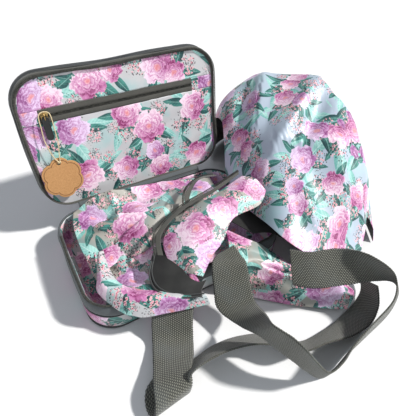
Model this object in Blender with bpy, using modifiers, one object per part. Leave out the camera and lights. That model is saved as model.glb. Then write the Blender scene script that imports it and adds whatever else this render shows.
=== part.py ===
"""Fold-away tote bag, lying open beside the zip case that it packs into.

The case is a shallow clamshell: a base tray and a lid on one long fabric hinge. The tote spills out
of the base over its front and right sides, with its two webbing handles looped on the floor.
Origin: centre of the base's underside, on the floor. +X along the hinge, +Y towards it, +Z up.
"""
import math

import bmesh
import bpy
from mathutils import Matrix, Vector

MM = 0.001

# Driving dimensions, in metres
CASE_W = 0.238
CASE_D = 0.156
CORNER_R = 0.032
BASE_Y = -0.001
HINGE_Y = 0.078
HINGE_Z = 0.040
HINGE_CLEARANCE = 0.002
LID_OPEN = math.radians(79)
LID_DEPTH = 0.025
GUSSET_H = 0.020
WALL = 0.0015
TAPE_WALL = 0.0020
COIL_R = 0.0013
GAP = 0.0003
CLOTH = 0.0016
WEBBING = 0.0018
TAG_T = 0.0022
TAG_R = 0.0250
TAG_LOBE = 0.0036
CORD_R = 0.0006

# The lid pocket's zip, in the lid's own plane: across and up from the hinge
POCKET_LEFT = (-0.098, 0.1150)
POCKET_RIGHT = (0.087, 0.1150)
POCKET_TAPE_W = 0.0055
LINING_Z = -0.0045
TAG_PIVOT = (-0.0925, 0.1170)
TAG_CENTRE = (-0.0925, 0.0430)

OLIVE = (0.085, 0.090, 0.078)
DARK = (0.030, 0.032, 0.030)
FLORAL = (0.62, 0.60, 0.66)
CORK = (0.62, 0.40, 0.22)
CREAM = (0.80, 0.70, 0.45)
BRASS = (0.45, 0.33, 0.14)
BLACK = (0.015, 0.015, 0.016)


def clear_scene():
    for obj in list(bpy.data.objects):
        bpy.data.objects.remove(obj, do_unlink=True)


def material(name, color, roughness, metallic=0.0):
    made = bpy.data.materials.new(name)
    made.use_nodes = True
    shader = made.node_tree.nodes["Principled BSDF"]
    shader.inputs["Base Color"].default_value = (*color, 1.0)
    shader.inputs["Roughness"].default_value = roughness
    shader.inputs["Metallic"].default_value = metallic
    return made


def finish(obj, color, roughness=0.8, metallic=0.0, parent=None):
    """Puts a new object in the part's collection with its own material."""
    for collection in list(obj.users_collection):
        collection.objects.unlink(obj)
    parts.objects.link(obj)
    obj.data.materials.append(material(obj.name, color, roughness, metallic))
    obj.parent = parent
    return obj


def empty(name, location, rotation=(0, 0, 0), parent=None):
    made = bpy.data.objects.new(name, None)
    parts.objects.link(made)
    made.location = location
    made.rotation_euler = rotation
    made.parent = parent
    return made


# ---------------------------------------------------------------- outlines and flat pieces

def rounded_outline(width, depth, radius, centre_y, steps=6):
    """Anticlockwise points of a rounded rectangle, starting at the right side's front end."""
    points = []
    for turn, (sx, sy) in enumerate(((1, 1), (-1, 1), (-1, -1), (1, -1))):
        corner = Vector((sx * (width / 2 - radius), centre_y + sy * (depth / 2 - radius)))
        for step in range(steps + 1):
            angle = math.pi / 2 * (turn + step / steps)
            points.append(corner + radius * Vector((math.cos(angle), math.sin(angle))))
    return points


def flat_piece(name, outlines, z_low, z_high, color, roughness=0.8, metallic=0.0, parent=None):
    """A flat plate; a second outline is a hole through it."""
    curve = bpy.data.curves.new(name, "CURVE")
    curve.dimensions = "2D"
    curve.fill_mode = "BOTH"
    curve.extrude = (z_high - z_low) / 2
    for outline in outlines:
        spline = curve.splines.new("POLY")
        spline.points.add(len(outline) - 1)
        for point, place in zip(spline.points, outline):
            point.co = (place[0], place[1], 0, 1)
        spline.use_cyclic_u = True
    obj = bpy.data.objects.new(name, curve)
    obj.location = (0, 0, (z_low + z_high) / 2)
    return finish(obj, color, roughness, metallic, parent)


def case_ring(name, z_low, z_high, wall, centre_y, inset, color, parent=None):
    """A wall that follows the case's outline."""
    sizes = [(CASE_W - 2 * d, CASE_D - 2 * d, CORNER_R - d, centre_y) for d in (inset, inset + wall)]
    return flat_piece(name, [rounded_outline(*size) for size in sizes], z_low, z_high, color, parent=parent)


def block(name, size, location, color, roughness, metallic=0.0, parent=None, bevel=0.0006):
    bpy.ops.mesh.primitive_cube_add(size=1)
    obj = bpy.context.object
    obj.name = name
    obj.data.transform(Matrix.Diagonal((*size, 1)))
    obj.location = location
    edge = obj.modifiers.new("edges", "BEVEL")
    edge.width = bevel
    edge.segments = 2
    return finish(obj, color, roughness, metallic, parent)


# ---------------------------------------------------------------- smooth lofts

def spline_point(points, t):
    """Catmull-Rom through a list of vectors; t runs from 0 to 1."""
    last = len(points) - 1
    place = min(t * last, last - 1e-9)
    k = int(place)
    f = place - k
    p0, p1, p2, p3 = (points[min(max(k + d, 0), last)] for d in (-1, 0, 1, 2))
    return 0.5 * (2 * p1 + (p2 - p0) * f + (2 * p0 - 5 * p1 + 4 * p2 - p3) * f ** 2
                  + (3 * p1 - p0 - 3 * p2 + p3) * f ** 3)


def smooth_net(net, rows, columns):
    """Reads a grid of rows by columns from the smooth surface through a coarse net in millimetres."""
    lines = [[Vector(point) * MM for point in line] for line in net]
    wide = [[spline_point(line, j / (columns - 1)) for j in range(columns)] for line in lines]
    return [[spline_point([line[j] for line in wide], i / (rows - 1)) for j in range(columns)]
            for i in range(rows)]


def sheet(name, net, rows, columns, thickness, color, roughness=0.8, parent=None):
    """A sheet of cloth or webbing: the surface through a coarse net, given its thickness."""
    grid = smooth_net(net, rows, columns)
    mesh = bpy.data.meshes.new(name)
    corners = [tuple(point) for line in grid for point in line]
    faces = [(i * columns + j, i * columns + j + 1, (i + 1) * columns + j + 1, (i + 1) * columns + j)
             for i in range(rows - 1) for j in range(columns - 1)]
    mesh.from_pydata(corners, [], faces)
    mesh.shade_smooth()
    obj = bpy.data.objects.new(name, mesh)
    solid = obj.modifiers.new("thickness", "SOLIDIFY")
    solid.thickness = thickness
    solid.offset = 0
    return finish(obj, color, roughness, parent=parent)


def tube(name, points, radius, color, roughness=0.6, metallic=0.0, resolution=2, parent=None):
    curve = bpy.data.curves.new(name, "CURVE")
    curve.dimensions = "3D"
    curve.bevel_depth = radius
    curve.bevel_resolution = resolution
    curve.use_fill_caps = True
    spline = curve.splines.new("POLY")
    spline.points.add(len(points) - 1)
    for point, place in zip(spline.points, points):
        point.co = (*place, 1)
    return finish(bpy.data.objects.new(name, curve), color, roughness, metallic, parent)


def smooth_path(points, count):
    route = [Vector(point) * MM for point in points]
    return [spline_point(route, i / (count - 1)) for i in range(count)]


# ---------------------------------------------------------------- the case

def open_coil(name, centre_y, z, back_y, right_end_y, open_side, parent=None):
    """Zip coil round three sides of the rim; the fourth side, at the hinge, has none."""
    inset = TAPE_WALL / 2
    outline = rounded_outline(CASE_W - 2 * inset, CASE_D - 2 * inset, CORNER_R - inset, centre_y)
    half_w = CASE_W / 2 - inset
    half = len(outline) // 2
    if open_side > 0:
        route = [(-half_w, back_y)] + outline[half:] + [(half_w, right_end_y)]
    else:
        route = [(half_w, right_end_y)] + outline[:half] + [(-half_w, back_y)]
    return tube(name, [Vector((p[0], p[1], z)) for p in route], COIL_R, OLIVE, parent=parent)


def make_base():
    inner_w = CASE_W - 2 * TAPE_WALL - 2 * GAP
    inner_d = CASE_D - 2 * TAPE_WALL - 2 * GAP
    panel = rounded_outline(CASE_W, CASE_D, CORNER_R, BASE_Y)
    flat_piece("base_panel", [panel], 0, 0.002, FLORAL)
    case_ring("base_gusset", 0.0023, 0.0023 + GUSSET_H, WALL, BASE_Y, 0, FLORAL)
    tape_low = 0.0026 + GUSSET_H
    case_ring("base_zip_tape", tape_low, HINGE_Z - 0.0030, TAPE_WALL, BASE_Y, 0, OLIVE)
    open_coil("base_zip_coil", BASE_Y, HINGE_Z - 0.0030 + GAP + COIL_R, 0.044, 0.038, 1)
    make_tray("base_lining", inner_w, inner_d, CORNER_R - TAPE_WALL - GAP, 0.0023, 0.034)
    tube("hinge_piping", [(-0.083, HINGE_Y, HINGE_Z), (0.083, HINGE_Y, HINGE_Z)], 0.0014, DARK)


def make_tray(name, width, depth, radius, z_low, z_high):
    """An open lining: a floor and one wall, from a rounded outline raised and thickened inwards."""
    outline = rounded_outline(width, depth, radius, BASE_Y)
    bm = bmesh.new()
    low = [bm.verts.new((p[0], p[1], z_low)) for p in outline]
    high = [bm.verts.new((p[0], p[1], z_high)) for p in outline]
    bm.faces.new(list(reversed(low)))
    for i in range(len(outline)):
        k = (i + 1) % len(outline)
        bm.faces.new((low[i], low[k], high[k], high[i]))
    bmesh.ops.recalc_face_normals(bm, faces=bm.faces)
    mesh = bpy.data.meshes.new(name)
    bm.to_mesh(mesh)
    bm.free()
    obj = bpy.data.objects.new(name, mesh)
    solid = obj.modifiers.new("thickness", "SOLIDIFY")
    solid.thickness = 0.001
    solid.offset = -1
    return finish(obj, FLORAL)


def make_lid():
    """The lid's frame has the hinge on its X axis, the lid along +Y and the open side at +Z."""
    frame = empty("lid_frame", (0, HINGE_Y, HINGE_Z), (LID_OPEN, 0, 0))
    centre_y = HINGE_CLEARANCE + CASE_D / 2
    back = -LID_DEPTH
    panel = rounded_outline(CASE_W, CASE_D, CORNER_R, centre_y)
    flat_piece("lid_panel", [panel], back, back + 0.002, FLORAL, parent=frame)
    case_ring("lid_gusset", back + 0.0023, -0.0113, WALL, centre_y, 0, OLIVE, frame)
    case_ring("lid_zip_tape", -0.0110, -0.0030, TAPE_WALL, centre_y, 0, OLIVE, frame)
    open_coil("lid_zip_coil", centre_y, -0.0030 + GAP + COIL_R, 0.034, 0.034, -1, frame)
    make_lid_lining(frame, centre_y)
    return frame


def make_lid_lining(frame, centre_y):
    """The lining is cut along the pocket's zip: a top piece, the pocket, and a piece at each zip end."""
    inset = TAPE_WALL + 0.0006
    outline = rounded_outline(CASE_W - 2 * inset, CASE_D - 2 * inset, CORNER_R - inset, centre_y)
    flat_piece("lid_lining", [outline], LINING_Z - 0.0022, LINING_Z - 0.0013, FLORAL, parent=frame)
    left = Vector(POCKET_LEFT)
    along = (Vector(POCKET_RIGHT) - left).normalized()
    half_w = CASE_W / 2 - inset
    half_band = POCKET_TAPE_W + 0.0020

    def band_y(x, side):
        return left.y + along.y / along.x * (x - left.x) + side * half_band

    top = [p for p in outline if p[1] > centre_y + 0.02]
    top = [(half_w, band_y(half_w, 1))] + [tuple(p) for p in top] + [(-half_w, band_y(-half_w, 1))]
    low = [p for p in outline if p[1] < centre_y - 0.02]
    low = [(-half_w, band_y(-half_w, -1))] + [tuple(p) for p in low] + [(half_w, band_y(half_w, -1))]
    z_range = (LINING_Z - 0.0010, LINING_Z)
    flat_piece("lid_lining_upper", [top], *z_range, FLORAL, parent=frame)
    flat_piece("lid_pocket_panel", [low], *z_range, FLORAL, parent=frame)
    ends = {"pocket_end_left": (-half_w, POCKET_LEFT[0] - GAP),
            "pocket_end_right": (POCKET_RIGHT[0] + GAP, half_w)}
    for name, (x0, x1) in ends.items():
        corners = [(x0, band_y(x0, -1) + GAP), (x1, band_y(x1, -1) + GAP),
                   (x1, band_y(x1, 1) - GAP), (x0, band_y(x0, 1) - GAP)]
        flat_piece(name, [corners], *z_range, FLORAL, parent=frame)


def make_pocket_zip(lid_frame):
    """The zip's frame has the coil on its X axis and the lining's face at z = 0."""
    left = Vector(POCKET_LEFT)
    run = Vector(POCKET_RIGHT) - left
    length = run.length
    slope = math.atan2(run.y, run.x)
    zip_frame = empty("pocket_zip_frame", (left.x, left.y, LINING_Z), (0, 0, slope), lid_frame)
    for name, side in (("pocket_zip_tape_upper", 1), ("pocket_zip_tape_lower", -1)):
        y0, y1 = sorted((side * 0.0016, side * (0.0016 + POCKET_TAPE_W)))
        corners = [(0.0005, y0), (length - 0.0005, y0), (length - 0.0005, y1), (0.0005, y1)]
        flat_piece(name, [corners], -0.0008, 0, OLIVE, parent=zip_frame)
    tube("pocket_zip_coil", [(0.001, 0, 0.0002), (length - 0.001, 0, 0.0002)], 0.0012, OLIVE,
         parent=zip_frame)
    block("pocket_slider", (0.010, 0.0085, 0.0018), (0.0055, 0, 0.0027), BRASS, 0.35, 0.9, zip_frame)
    # The pull hangs straight down the lid from the slider's bar, clear of the slider's face.
    bar = empty("pocket_pull_bar", (0.0055 + left.x, left.y, LINING_Z + 0.0050), (0, 0, 0), lid_frame)
    block("pocket_pull", (0.0075, 0.0270, 0.0016), (0, -0.0125, 0), BLACK, 0.45, 0.0, bar)


def make_tag(lid_frame):
    """A cork tag with six lobes, on a doubled string that loops round the slider's upper end."""
    hang = empty("tag_pivot", (TAG_PIVOT[0], TAG_PIVOT[1], 0.0), (0, 0, 0), lid_frame)
    centre = Vector((TAG_CENTRE[0] - TAG_PIVOT[0], TAG_CENTRE[1] - TAG_PIVOT[1]))
    outline = []
    for step in range(72):
        angle = math.tau * step / 72
        lobe = abs(math.cos(3 * (angle - math.pi / 2)))
        radius = TAG_R - TAG_LOBE + TAG_LOBE * lobe ** 0.7
        outline.append((centre.x + 0.94 * radius * math.cos(angle), centre.y + radius * math.sin(angle)))
    hole_y = centre.y + 0.0180
    hole = [(centre.x + 0.0018 * math.cos(a), hole_y + 0.0018 * math.sin(a))
            for a in (math.tau * k / 12 for k in range(12))]
    flat_piece("cork_tag", [outline, hole], 0.0006, 0.0006 + TAG_T, CORK, 0.85, parent=hang)
    low = hole_y * 1000 + 3.2
    loop = [(1.6, low, 4.2), (3.4, low + 10, 3.4), (5.6, -32, 2.8), (6.0, -18, 2.8), (6.2, -8, 2.8),
            (6.0, -1.0, 2.4), (4.6, 2.8, 1.6), (0.0, 4.2, 1.0), (-4.6, 2.8, 1.6), (-6.4, -2.0, 2.4),
            (-6.8, -12, 2.8), (-7.4, -24, 2.8), (-6.0, -36, 2.8), (-3.2, low + 6, 3.4), (0.0, low, 4.2)]
    tube("tag_cord", smooth_path(loop, 44), CORD_R, CREAM, 0.8, parent=hang)


def make_case_slider():
    """The case's own slider, parked where the zip ends, on the right side of the base's rim."""
    x = CASE_W / 2 - TAPE_WALL / 2
    block("case_slider", (0.0090, 0.0110, 0.0024), (x, 0.045, HINGE_Z + 0.0016), BRASS, 0.35, 0.9)
    bar = empty("case_pull_bar", (CASE_W / 2 + 0.0022, 0.045, HINGE_Z - 0.0010))
    block("case_pull", (0.0016, 0.0075, 0.0200), (0, 0, -0.0105), BLACK, 0.45, 0.0, bar)


# ---------------------------------------------------------------- the tote

# Each net is a list of lines of points in millimetres; the cloth passes smoothly through them.
BACK_PANEL = [
    [(108, 50, 51), (96, 4, 50), (95, -36, 56), (93, -77, 64), (95, -109, 64), (110, -127, 52),
     (132, -140, 36), (158, -148, 20), (192, -146, 6)],
    [(123, 80, 84), (131, 66, 98), (140, 44, 106), (148, 14, 112), (154, -22, 110), (164, -58, 96),
     (178, -88, 76), (196, -112, 48), (212, -128, 20)],
    [(132, 102, 98), (151, 114, 114), (179, 118, 128), (207, 112, 139), (221, 70, 145), (236, 28, 138),
     (226, -37, 118), (228, -85, 80), (228, -112, 38)],
    [(140, 128, 80), (163, 148, 92), (198, 160, 100), (234, 150, 108), (256, 100, 110), (266, 50, 104),
     (262, -12, 88), (252, -70, 58), (246, -112, 24)],
    [(146, 140, 3), (168, 168, 3), (206, 184, 3), (246, 178, 3), (274, 130, 3), (290, 68, 3),
     (284, -8, 3), (268, -72, 3), (256, -116, 3)],
]

FRONT_PANEL = [
    [(22, -103, 3), (44, -118, 2), (64, -136, 2), (84, -154, 3), (108, -174, 7), (126, -186, 9)],
    [(26, -98, 46), (57, -106, 36), (83, -121, 29), (108, -144, 24), (126, -164, 21), (137, -181, 15)],
    [(40, -76, 54), (60, -90, 48), (82, -108, 38), (106, -130, 26), (130, -152, 20), (146, -172, 14)],
    [(50, -54, 54), (64, -72, 49), (84, -92, 40), (106, -116, 20), (132, -142, 13), (149, -164, 10)],
]

# The dark inside of the tote, which crosses the base's right side and falls to the floor beyond it
LINING = [
    [(62, -26, 45), (90, -30, 45), (121, -40, 44), (152, -52, 22), (196, -40, 14)],
    [(70, -50, 46), (96, -58, 45), (122, -66, 40), (152, -86, 12), (194, -88, 8)],
    [(78, -68, 45), (99, -80, 45), (124, -98, 24), (148, -118, 8), (178, -132, 4)],
]

# The crumpled bottom of the tote, still in the base
BOTTOM_PANEL = [
    [(-101, 66, 50), (-66, 67, 66), (-28, 64, 66), (20, 62, 60), (62, 58, 52), (92, 52, 46)],
    [(-104, 44, 44), (-62, 44, 56), (-24, 40, 60), (16, 36, 64), (52, 26, 62), (86, 24, 50)],
    [(-92, 12, 44), (-60, 20, 62), (-22, 4, 74), (18, 2, 76), (46, 4, 72), (84, 2, 50)],
    [(-80, -6, 34), (-66, -12, 50), (-38, -22, 62), (-6, -14, 66), (14, -12, 62), (46, -6, 54)],
    [(-72, -24, 30), (-64, -30, 40), (-50, -34, 48), (-26, -30, 54), (0, -26, 52), (24, -20, 48)],
]

# The tote's front hem, lying over the base's front rim
FRONT_FOLD = [
    [(-86, -14, 50), (-91, -15, 51), (-95, -18, 44)],
    [(-88, -34, 47), (-97, -39, 52), (-103, -42, 43)],
    [(-86, -58, 46), (-98, -66, 52), (-107, -62, 43)],
    [(-73, -76, 46), (-80, -89, 52), (-87, -97, 36)],
    [(-45, -94, 46), (-50, -105, 50), (-54, -110, 35)],
    [(-16, -110, 45), (-15, -117, 47), (-13, -123, 38)],
]

SIDE_PANEL = [
    [(92, -16, 90), (99, -32, 95), (103, -50, 88)],
    [(46, -28, 88), (68, -42, 94), (86, -62, 82)],
    [(7, -30, 80), (30, -46, 90), (50, -64, 79)],
    [(-24, -43, 71), (4, -64, 84), (26, -82, 72)],
    [(-32, -62, 60), (-12, -78, 72), (8, -90, 66)],
    [(-26, -86, 54), (-18, -96, 58), (-10, -102, 56)],
]

FLAP_LINING = [
    [(-42, -46, 54), (-28, -52, 57)],
    [(-50, -60, 49), (-32, -66, 51)],
    [(-46, -72, 47), (-30, -78, 49)],
    [(-36, -82, 47), (-26, -86, 48)],
]

RIGHT_TAPE = [
    [(89, -9, 90), (87, -13, 90)],
    [(44, -21, 88), (45, -26, 88)],
    [(2, -24, 80), (5, -29, 81)],
    [(-31, -38, 71), (-27, -42, 72)],
    [(-40, -58, 62), (-35, -61, 62)],
]

LEFT_TAPE = [
    [(70, 14, 77), (70, 8, 79)],
    [(46, 12, 81), (44, 6, 84)],
    [(22, -4, 83), (24, -9, 79)],
    [(12, -20, 76), (18, -22, 73)],
    [(9, -30, 62), (15, -31, 61)],
    [(6, -40, 47), (12, -40, 47)],
    [(6, -44, 34), (12, -44, 34)],
]

# Handle stations: the two edges of the webbing, in millimetres
HANDLE_FRONT = [
    [(-65, -96, 33), (-28, -113, 33)],
    [(-69, -102, 19), (-32, -119, 20)],
    [(-74, -113, 7), (-37, -129, 7)],
    [(-84, -138, 13), (-47, -148, 14)],
    [(-93, -160, 21), (-57, -163, 23)],
    [(-98, -174, 19), (-62, -173, 22)],
    [(-102, -178, 9), (-66, -175, 12)],
    [(-104, -167, 3), (-70, -172, 4)],
    [(-97, -150, 2), (-68, -172, 5)],
    [(-78, -143, 2), (-65, -174, 16)],
    [(-50, -147, 2), (-60, -169, 31)],
    [(-23, -144, 2), (-35, -166, 30)],
    [(5, -148, 2), (-10, -169, 29)],
    [(34, -161, 2), (15, -179, 28)],
    [(55, -183, 2), (36, -200, 28)],
    [(89, -186, 2), (70, -205, 24)],
    [(113, -183, 2), (99, -210, 19)],
    [(138, -178, 3), (128, -208, 15)],
    [(158, -170, 5), (146, -199, 22)],
    [(169, -157, 7), (158, -184, 30)],
]

HANDLE_REAR = [
    [(16, -84, 58), (36, -84, 62)],
    [(8, -88, 57), (36, -99, 60)],
    [(3, -95, 55), (36, -108, 58)],
    [(-1, -106, 40), (34, -120, 44)],
    [(-4, -121, 22), (30, -137, 32)],
    [(4, -148, 24), (22, -162, 50)],
    [(10, -170, 35), (12, -182, 69)],
    [(16, -188, 35), (18, -199, 70)],
    [(23, -203, 32), (22, -212, 68)],
    [(33, -214, 21), (28, -221, 58)],
    [(48, -222, 5), (40, -230, 41)],
    [(66, -222, 3), (58, -229, 39)],
    [(90, -217, 3), (80, -222, 39)],
    [(118, -213, 3), (110, -216, 40)],
    [(156, -208, 12), (142, -210, 47)],
    [(172, -200, 28), (152, -200, 60)],
    [(165, -192, 42), (146, -190, 74)],
    [(143, -184, 48), (132, -169, 82)],
    [(110, -172, 48), (118, -148, 76)],
    [(84, -160, 46), (92, -137, 74)],
    [(68, -146, 46), (76, -124, 74)],
]


def make_tote():
    sheet("tote_back_panel", BACK_PANEL, 15, 25, CLOTH, FLORAL)
    sheet("tote_front_panel", FRONT_PANEL, 9, 13, CLOTH, FLORAL)
    sheet("tote_lining", LINING, 7, 11, CLOTH, DARK)
    sheet("tote_bottom_panel", BOTTOM_PANEL, 12, 15, CLOTH, FLORAL)
    sheet("tote_side_panel", SIDE_PANEL, 14, 5, CLOTH, FLORAL)
    sheet("tote_flap_lining", FLAP_LINING, 6, 3, CLOTH, DARK)
    sheet("tote_front_fold", FRONT_FOLD, 14, 5, CLOTH, FLORAL)


def make_tote_zip():
    for side, net, count in (("right", RIGHT_TAPE, 17), ("left", LEFT_TAPE, 17)):
        sheet("tote_zip_tape_" + side, net, count, 2, 0.0008, OLIVE)
        edge = [Vector(line[0]) for line in net]
        away = [(Vector(line[0]) - Vector(line[1])).normalized() * 2.4 for line in net]
        route = [tuple(a + b) for a, b in zip(edge, away)]
        tube("tote_zip_coil_" + side, smooth_path(route, 2 * count), COIL_R, OLIVE)


def make_tote_slider():
    """The tote's slider hangs at the buried end of its zip, down inside the base."""
    x, y, z = (place * MM for place in (3.6, -47.4, 36))
    block("tote_slider", (0.0085, 0.0020, 0.0100), (x, y, z), BRASS, 0.35, 0.9)
    bar = empty("tote_pull_bar", (x, y - 0.0026, z - 0.0020))
    block("tote_pull", (0.0075, 0.0016, 0.0200), (0, 0, -0.0095), BLACK, 0.45, 0.0, bar)


def make_handles():
    sheet("handle_front", HANDLE_FRONT, 60, 3, WEBBING, OLIVE)
    sheet("handle_rear", HANDLE_REAR, 60, 3, WEBBING, OLIVE)


clear_scene()
parts = bpy.data.collections.new("fold_away_tote_bag")
bpy.context.scene.collection.children.link(parts)
make_base()
lid = make_lid()
make_pocket_zip(lid)
make_tag(lid)
make_case_slider()
make_tote()
make_tote_zip()
make_tote_slider()
make_handles()
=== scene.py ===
"""The looks of the fold-away tote bag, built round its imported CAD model.

The cloth panels are fine sheets read from the same coarse nets as the CAD solids, creased by cloth
simulation. A printed panel carries the places of its blooms, leaves and berries as mesh attributes,
and the print itself is drawn by shader nodes from those attributes.
"""

import math

import bpy
import numpy as np
from mathutils import Matrix, Vector


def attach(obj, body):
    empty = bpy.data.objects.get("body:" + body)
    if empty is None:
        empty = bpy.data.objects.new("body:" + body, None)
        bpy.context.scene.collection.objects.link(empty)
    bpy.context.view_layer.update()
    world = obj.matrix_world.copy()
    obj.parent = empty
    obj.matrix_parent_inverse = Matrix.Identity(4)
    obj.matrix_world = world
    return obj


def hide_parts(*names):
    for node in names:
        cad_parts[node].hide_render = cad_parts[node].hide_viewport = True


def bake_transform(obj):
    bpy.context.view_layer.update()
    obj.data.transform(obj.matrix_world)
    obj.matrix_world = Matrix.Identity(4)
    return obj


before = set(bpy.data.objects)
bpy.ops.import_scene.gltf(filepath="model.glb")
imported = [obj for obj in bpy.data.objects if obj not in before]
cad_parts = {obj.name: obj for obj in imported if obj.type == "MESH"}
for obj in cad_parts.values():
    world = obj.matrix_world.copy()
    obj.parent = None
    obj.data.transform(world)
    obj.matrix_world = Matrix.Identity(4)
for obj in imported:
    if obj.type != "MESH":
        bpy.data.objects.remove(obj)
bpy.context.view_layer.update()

MM = 0.001
CASE_W, CASE_D, CORNER_R, BASE_Y = 238.0, 156.0, 32.0, -1.0
HINGE_Y, HINGE_Z = 78.0, 40.0
LID_OPEN = math.radians(79)
LID_CENTRE_Y = 80.0
LID_FRAME = Matrix.Translation((0, HINGE_Y * MM, HINGE_Z * MM)) @ Matrix.Rotation(LID_OPEN, 4, "X")
HALF_W = CASE_W / 2
CLOTH_T = 0.6
HINGE_INSET = 1.6  # how far both shells draw in beside the hinge, so that they clear each other
FLOOR_SIZE, FLOOR_Z = 9, -0.0004  # metres

# Linear colours
PALE_GREY, PALE_AQUA = (0.57, 0.57, 0.58), (0.38, 0.57, 0.57)
# A darker, warmer ground and aqua: painted shade, for the print on panels that lie in shadow
SHADED_WARM_GREY, SHADE_AQUA = (0.37, 0.36, 0.32), (0.24, 0.37, 0.36)
# A blue-grey ground and aqua: painted bluish shade under the sky, for the print on the heap
BLUE_SHADE_GREY, BLUE_SHADE_AQUA = (0.46, 0.54, 0.64), (0.40, 0.60, 0.64)


# ---------------------------------------------------------------- camera and light

def make_camera():
    """The photograph's view: from the left of the open front, looking down over the case."""
    yaw, pitch, roll = math.radians(32.06), math.radians(42.31), math.radians(2.55)
    ahead = Vector((math.sin(yaw) * math.cos(pitch), math.cos(yaw) * math.cos(pitch), -math.sin(pitch)))
    side = Vector((math.cos(yaw), -math.sin(yaw), 0))
    up = side.cross(ahead)
    right = side * math.cos(roll) + up * math.sin(roll)
    top = up * math.cos(roll) - side * math.sin(roll)
    camera = bpy.data.objects.new("camera", bpy.data.cameras.new("camera"))
    bpy.context.scene.collection.objects.link(camera)
    camera.matrix_world = Matrix((right, top, -ahead)).transposed().to_4x4()
    camera.location = (-0.1312, -0.2966, 0.3580)
    camera.data.lens = 32.75
    camera.data.sensor_width = 36
    bpy.context.scene.camera = camera


def add_light(name, kind, energy, location, target, color, **sizes):
    data = bpy.data.lights.new(name, kind)
    data.energy = energy
    data.color = color
    for key, value in sizes.items():
        setattr(data, key, value)
    lamp = bpy.data.objects.new(name, data)
    bpy.context.scene.collection.objects.link(lamp)
    lamp.location = location
    lamp.rotation_euler = (Vector(target) - Vector(location)).to_track_quat("-Z", "Y").to_euler()


def make_studio():
    scene = bpy.context.scene
    scene.view_settings.view_transform = "Standard"
    scene.world = bpy.data.worlds.new("studio")
    scene.world.use_nodes = True
    sky = scene.world.node_tree.nodes["Background"]
    sky.inputs["Color"].default_value = (0.86, 0.92, 1.0, 1)
    sky.inputs["Strength"].default_value = 0.36
    add_light("sun", "SUN", 4.1, (0.60, -0.375, 0.707), (0, 0, 0), (1.0, 0.985, 0.96),
              angle=math.radians(4.0))
    add_light("front_fill", "AREA", 1.5, (-0.5, -0.9, 0.9), (0.05, 0, 0.06), (0.90, 0.94, 1.0), size=0.8)
    bpy.ops.mesh.primitive_plane_add(size=FLOOR_SIZE, location=(0, 0, FLOOR_Z))
    floor = bpy.context.object
    floor.name = "floor"
    paint = Graph("floor_white")
    paint.shader(color=(0.86, 0.86, 0.86), roughness=0.9)
    floor.data.materials.append(paint.material)


# ---------------------------------------------------------------- shader graphs

class Value:
    """A number or colour in a shader graph. Arithmetic on it adds Math nodes."""

    def __init__(self, graph, socket):
        self.graph = graph
        self.socket = socket

    def math(self, operation, *others):
        node = self.graph.add("ShaderNodeMath", operation=operation)
        for slot, value in zip(node.inputs, (self, *others)):
            self.graph.feed(slot, value)
        return Value(self.graph, node.outputs[0])

    def __add__(self, other):
        return self.math("ADD", other)

    def __sub__(self, other):
        return self.math("SUBTRACT", other)

    def __mul__(self, other):
        return self.math("MULTIPLY", other)

    def __truediv__(self, other):
        return self.math("DIVIDE", other)

    def __pow__(self, other):
        return self.math("POWER", other)

    def step(self, low, high):
        """0 at low, 1 at high, smooth between; low may be above high."""
        node = self.graph.add("ShaderNodeMapRange", interpolation_type="SMOOTHSTEP")
        for slot, value in zip(node.inputs, (self, low, high)):
            self.graph.feed(slot, value)
        return Value(self.graph, node.outputs[0])


class Graph:
    """A material and short calls that add nodes to it."""

    def __init__(self, name):
        self.material = bpy.data.materials.new(name)
        self.material.use_nodes = True
        self.tree = self.material.node_tree
        self.principled = self.tree.nodes["Principled BSDF"]

    def add(self, kind, **settings):
        node = self.tree.nodes.new(kind)
        for key, value in settings.items():
            setattr(node, key, value)
        return node

    def feed(self, slot, value):
        if isinstance(value, Value):
            self.tree.links.new(value.socket, slot)
        elif isinstance(value, tuple) and slot.type == "RGBA":
            slot.default_value = (*value, 1)
        else:
            slot.default_value = value

    def attribute(self, name):
        """The three numbers of a mesh attribute, and the attribute whole."""
        node = self.add("ShaderNodeAttribute", attribute_name=name)
        parts = self.add("ShaderNodeSeparateXYZ")
        self.tree.links.new(node.outputs["Vector"], parts.inputs[0])
        return [Value(self, socket) for socket in (*parts.outputs, node.outputs["Vector"])]

    def vector(self, x, y, z=0.0):
        node = self.add("ShaderNodeCombineXYZ")
        for slot, value in zip(node.inputs, (x, y, z)):
            self.feed(slot, value)
        return Value(self, node.outputs[0])

    def object_place(self):
        return Value(self, self.add("ShaderNodeTexCoord").outputs["Object"])

    def noise(self, place, scale, detail=2.0, rough=0.5):
        node = self.add("ShaderNodeTexNoise")
        self.feed(node.inputs["Vector"], place)
        node.inputs["Scale"].default_value = scale
        node.inputs["Detail"].default_value = detail
        node.inputs["Roughness"].default_value = rough
        return Value(self, node.outputs["Fac"])

    def cells(self, place, scale, feature="F1"):
        node = self.add("ShaderNodeTexVoronoi", feature=feature)
        self.feed(node.inputs["Vector"], place)
        node.inputs["Scale"].default_value = scale
        return Value(self, node.outputs["Distance"])

    def mix(self, share, first, second):
        node = self.add("ShaderNodeMix", data_type="RGBA")
        self.feed(node.inputs["Factor"], share)
        self.feed(node.inputs[6], first)
        self.feed(node.inputs[7], second)
        return Value(self, node.outputs[2])

    def shader(self, color=None, roughness=None, bump=None, bump_mm=0.1, **fixed):
        for key, value in (("Base Color", color), ("Roughness", roughness)):
            if value is not None:
                self.feed(self.principled.inputs[key], value)
        for key, value in fixed.items():
            self.feed(self.principled.inputs[key.replace("_", " ")], value)
        if bump is not None:
            node = self.add("ShaderNodeBump")
            node.inputs["Strength"].default_value = 1.0
            node.inputs["Distance"].default_value = bump_mm * MM
            self.feed(node.inputs["Height"], bump)
            self.tree.links.new(node.outputs[0], self.principled.inputs["Normal"])
        return self.material


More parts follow.
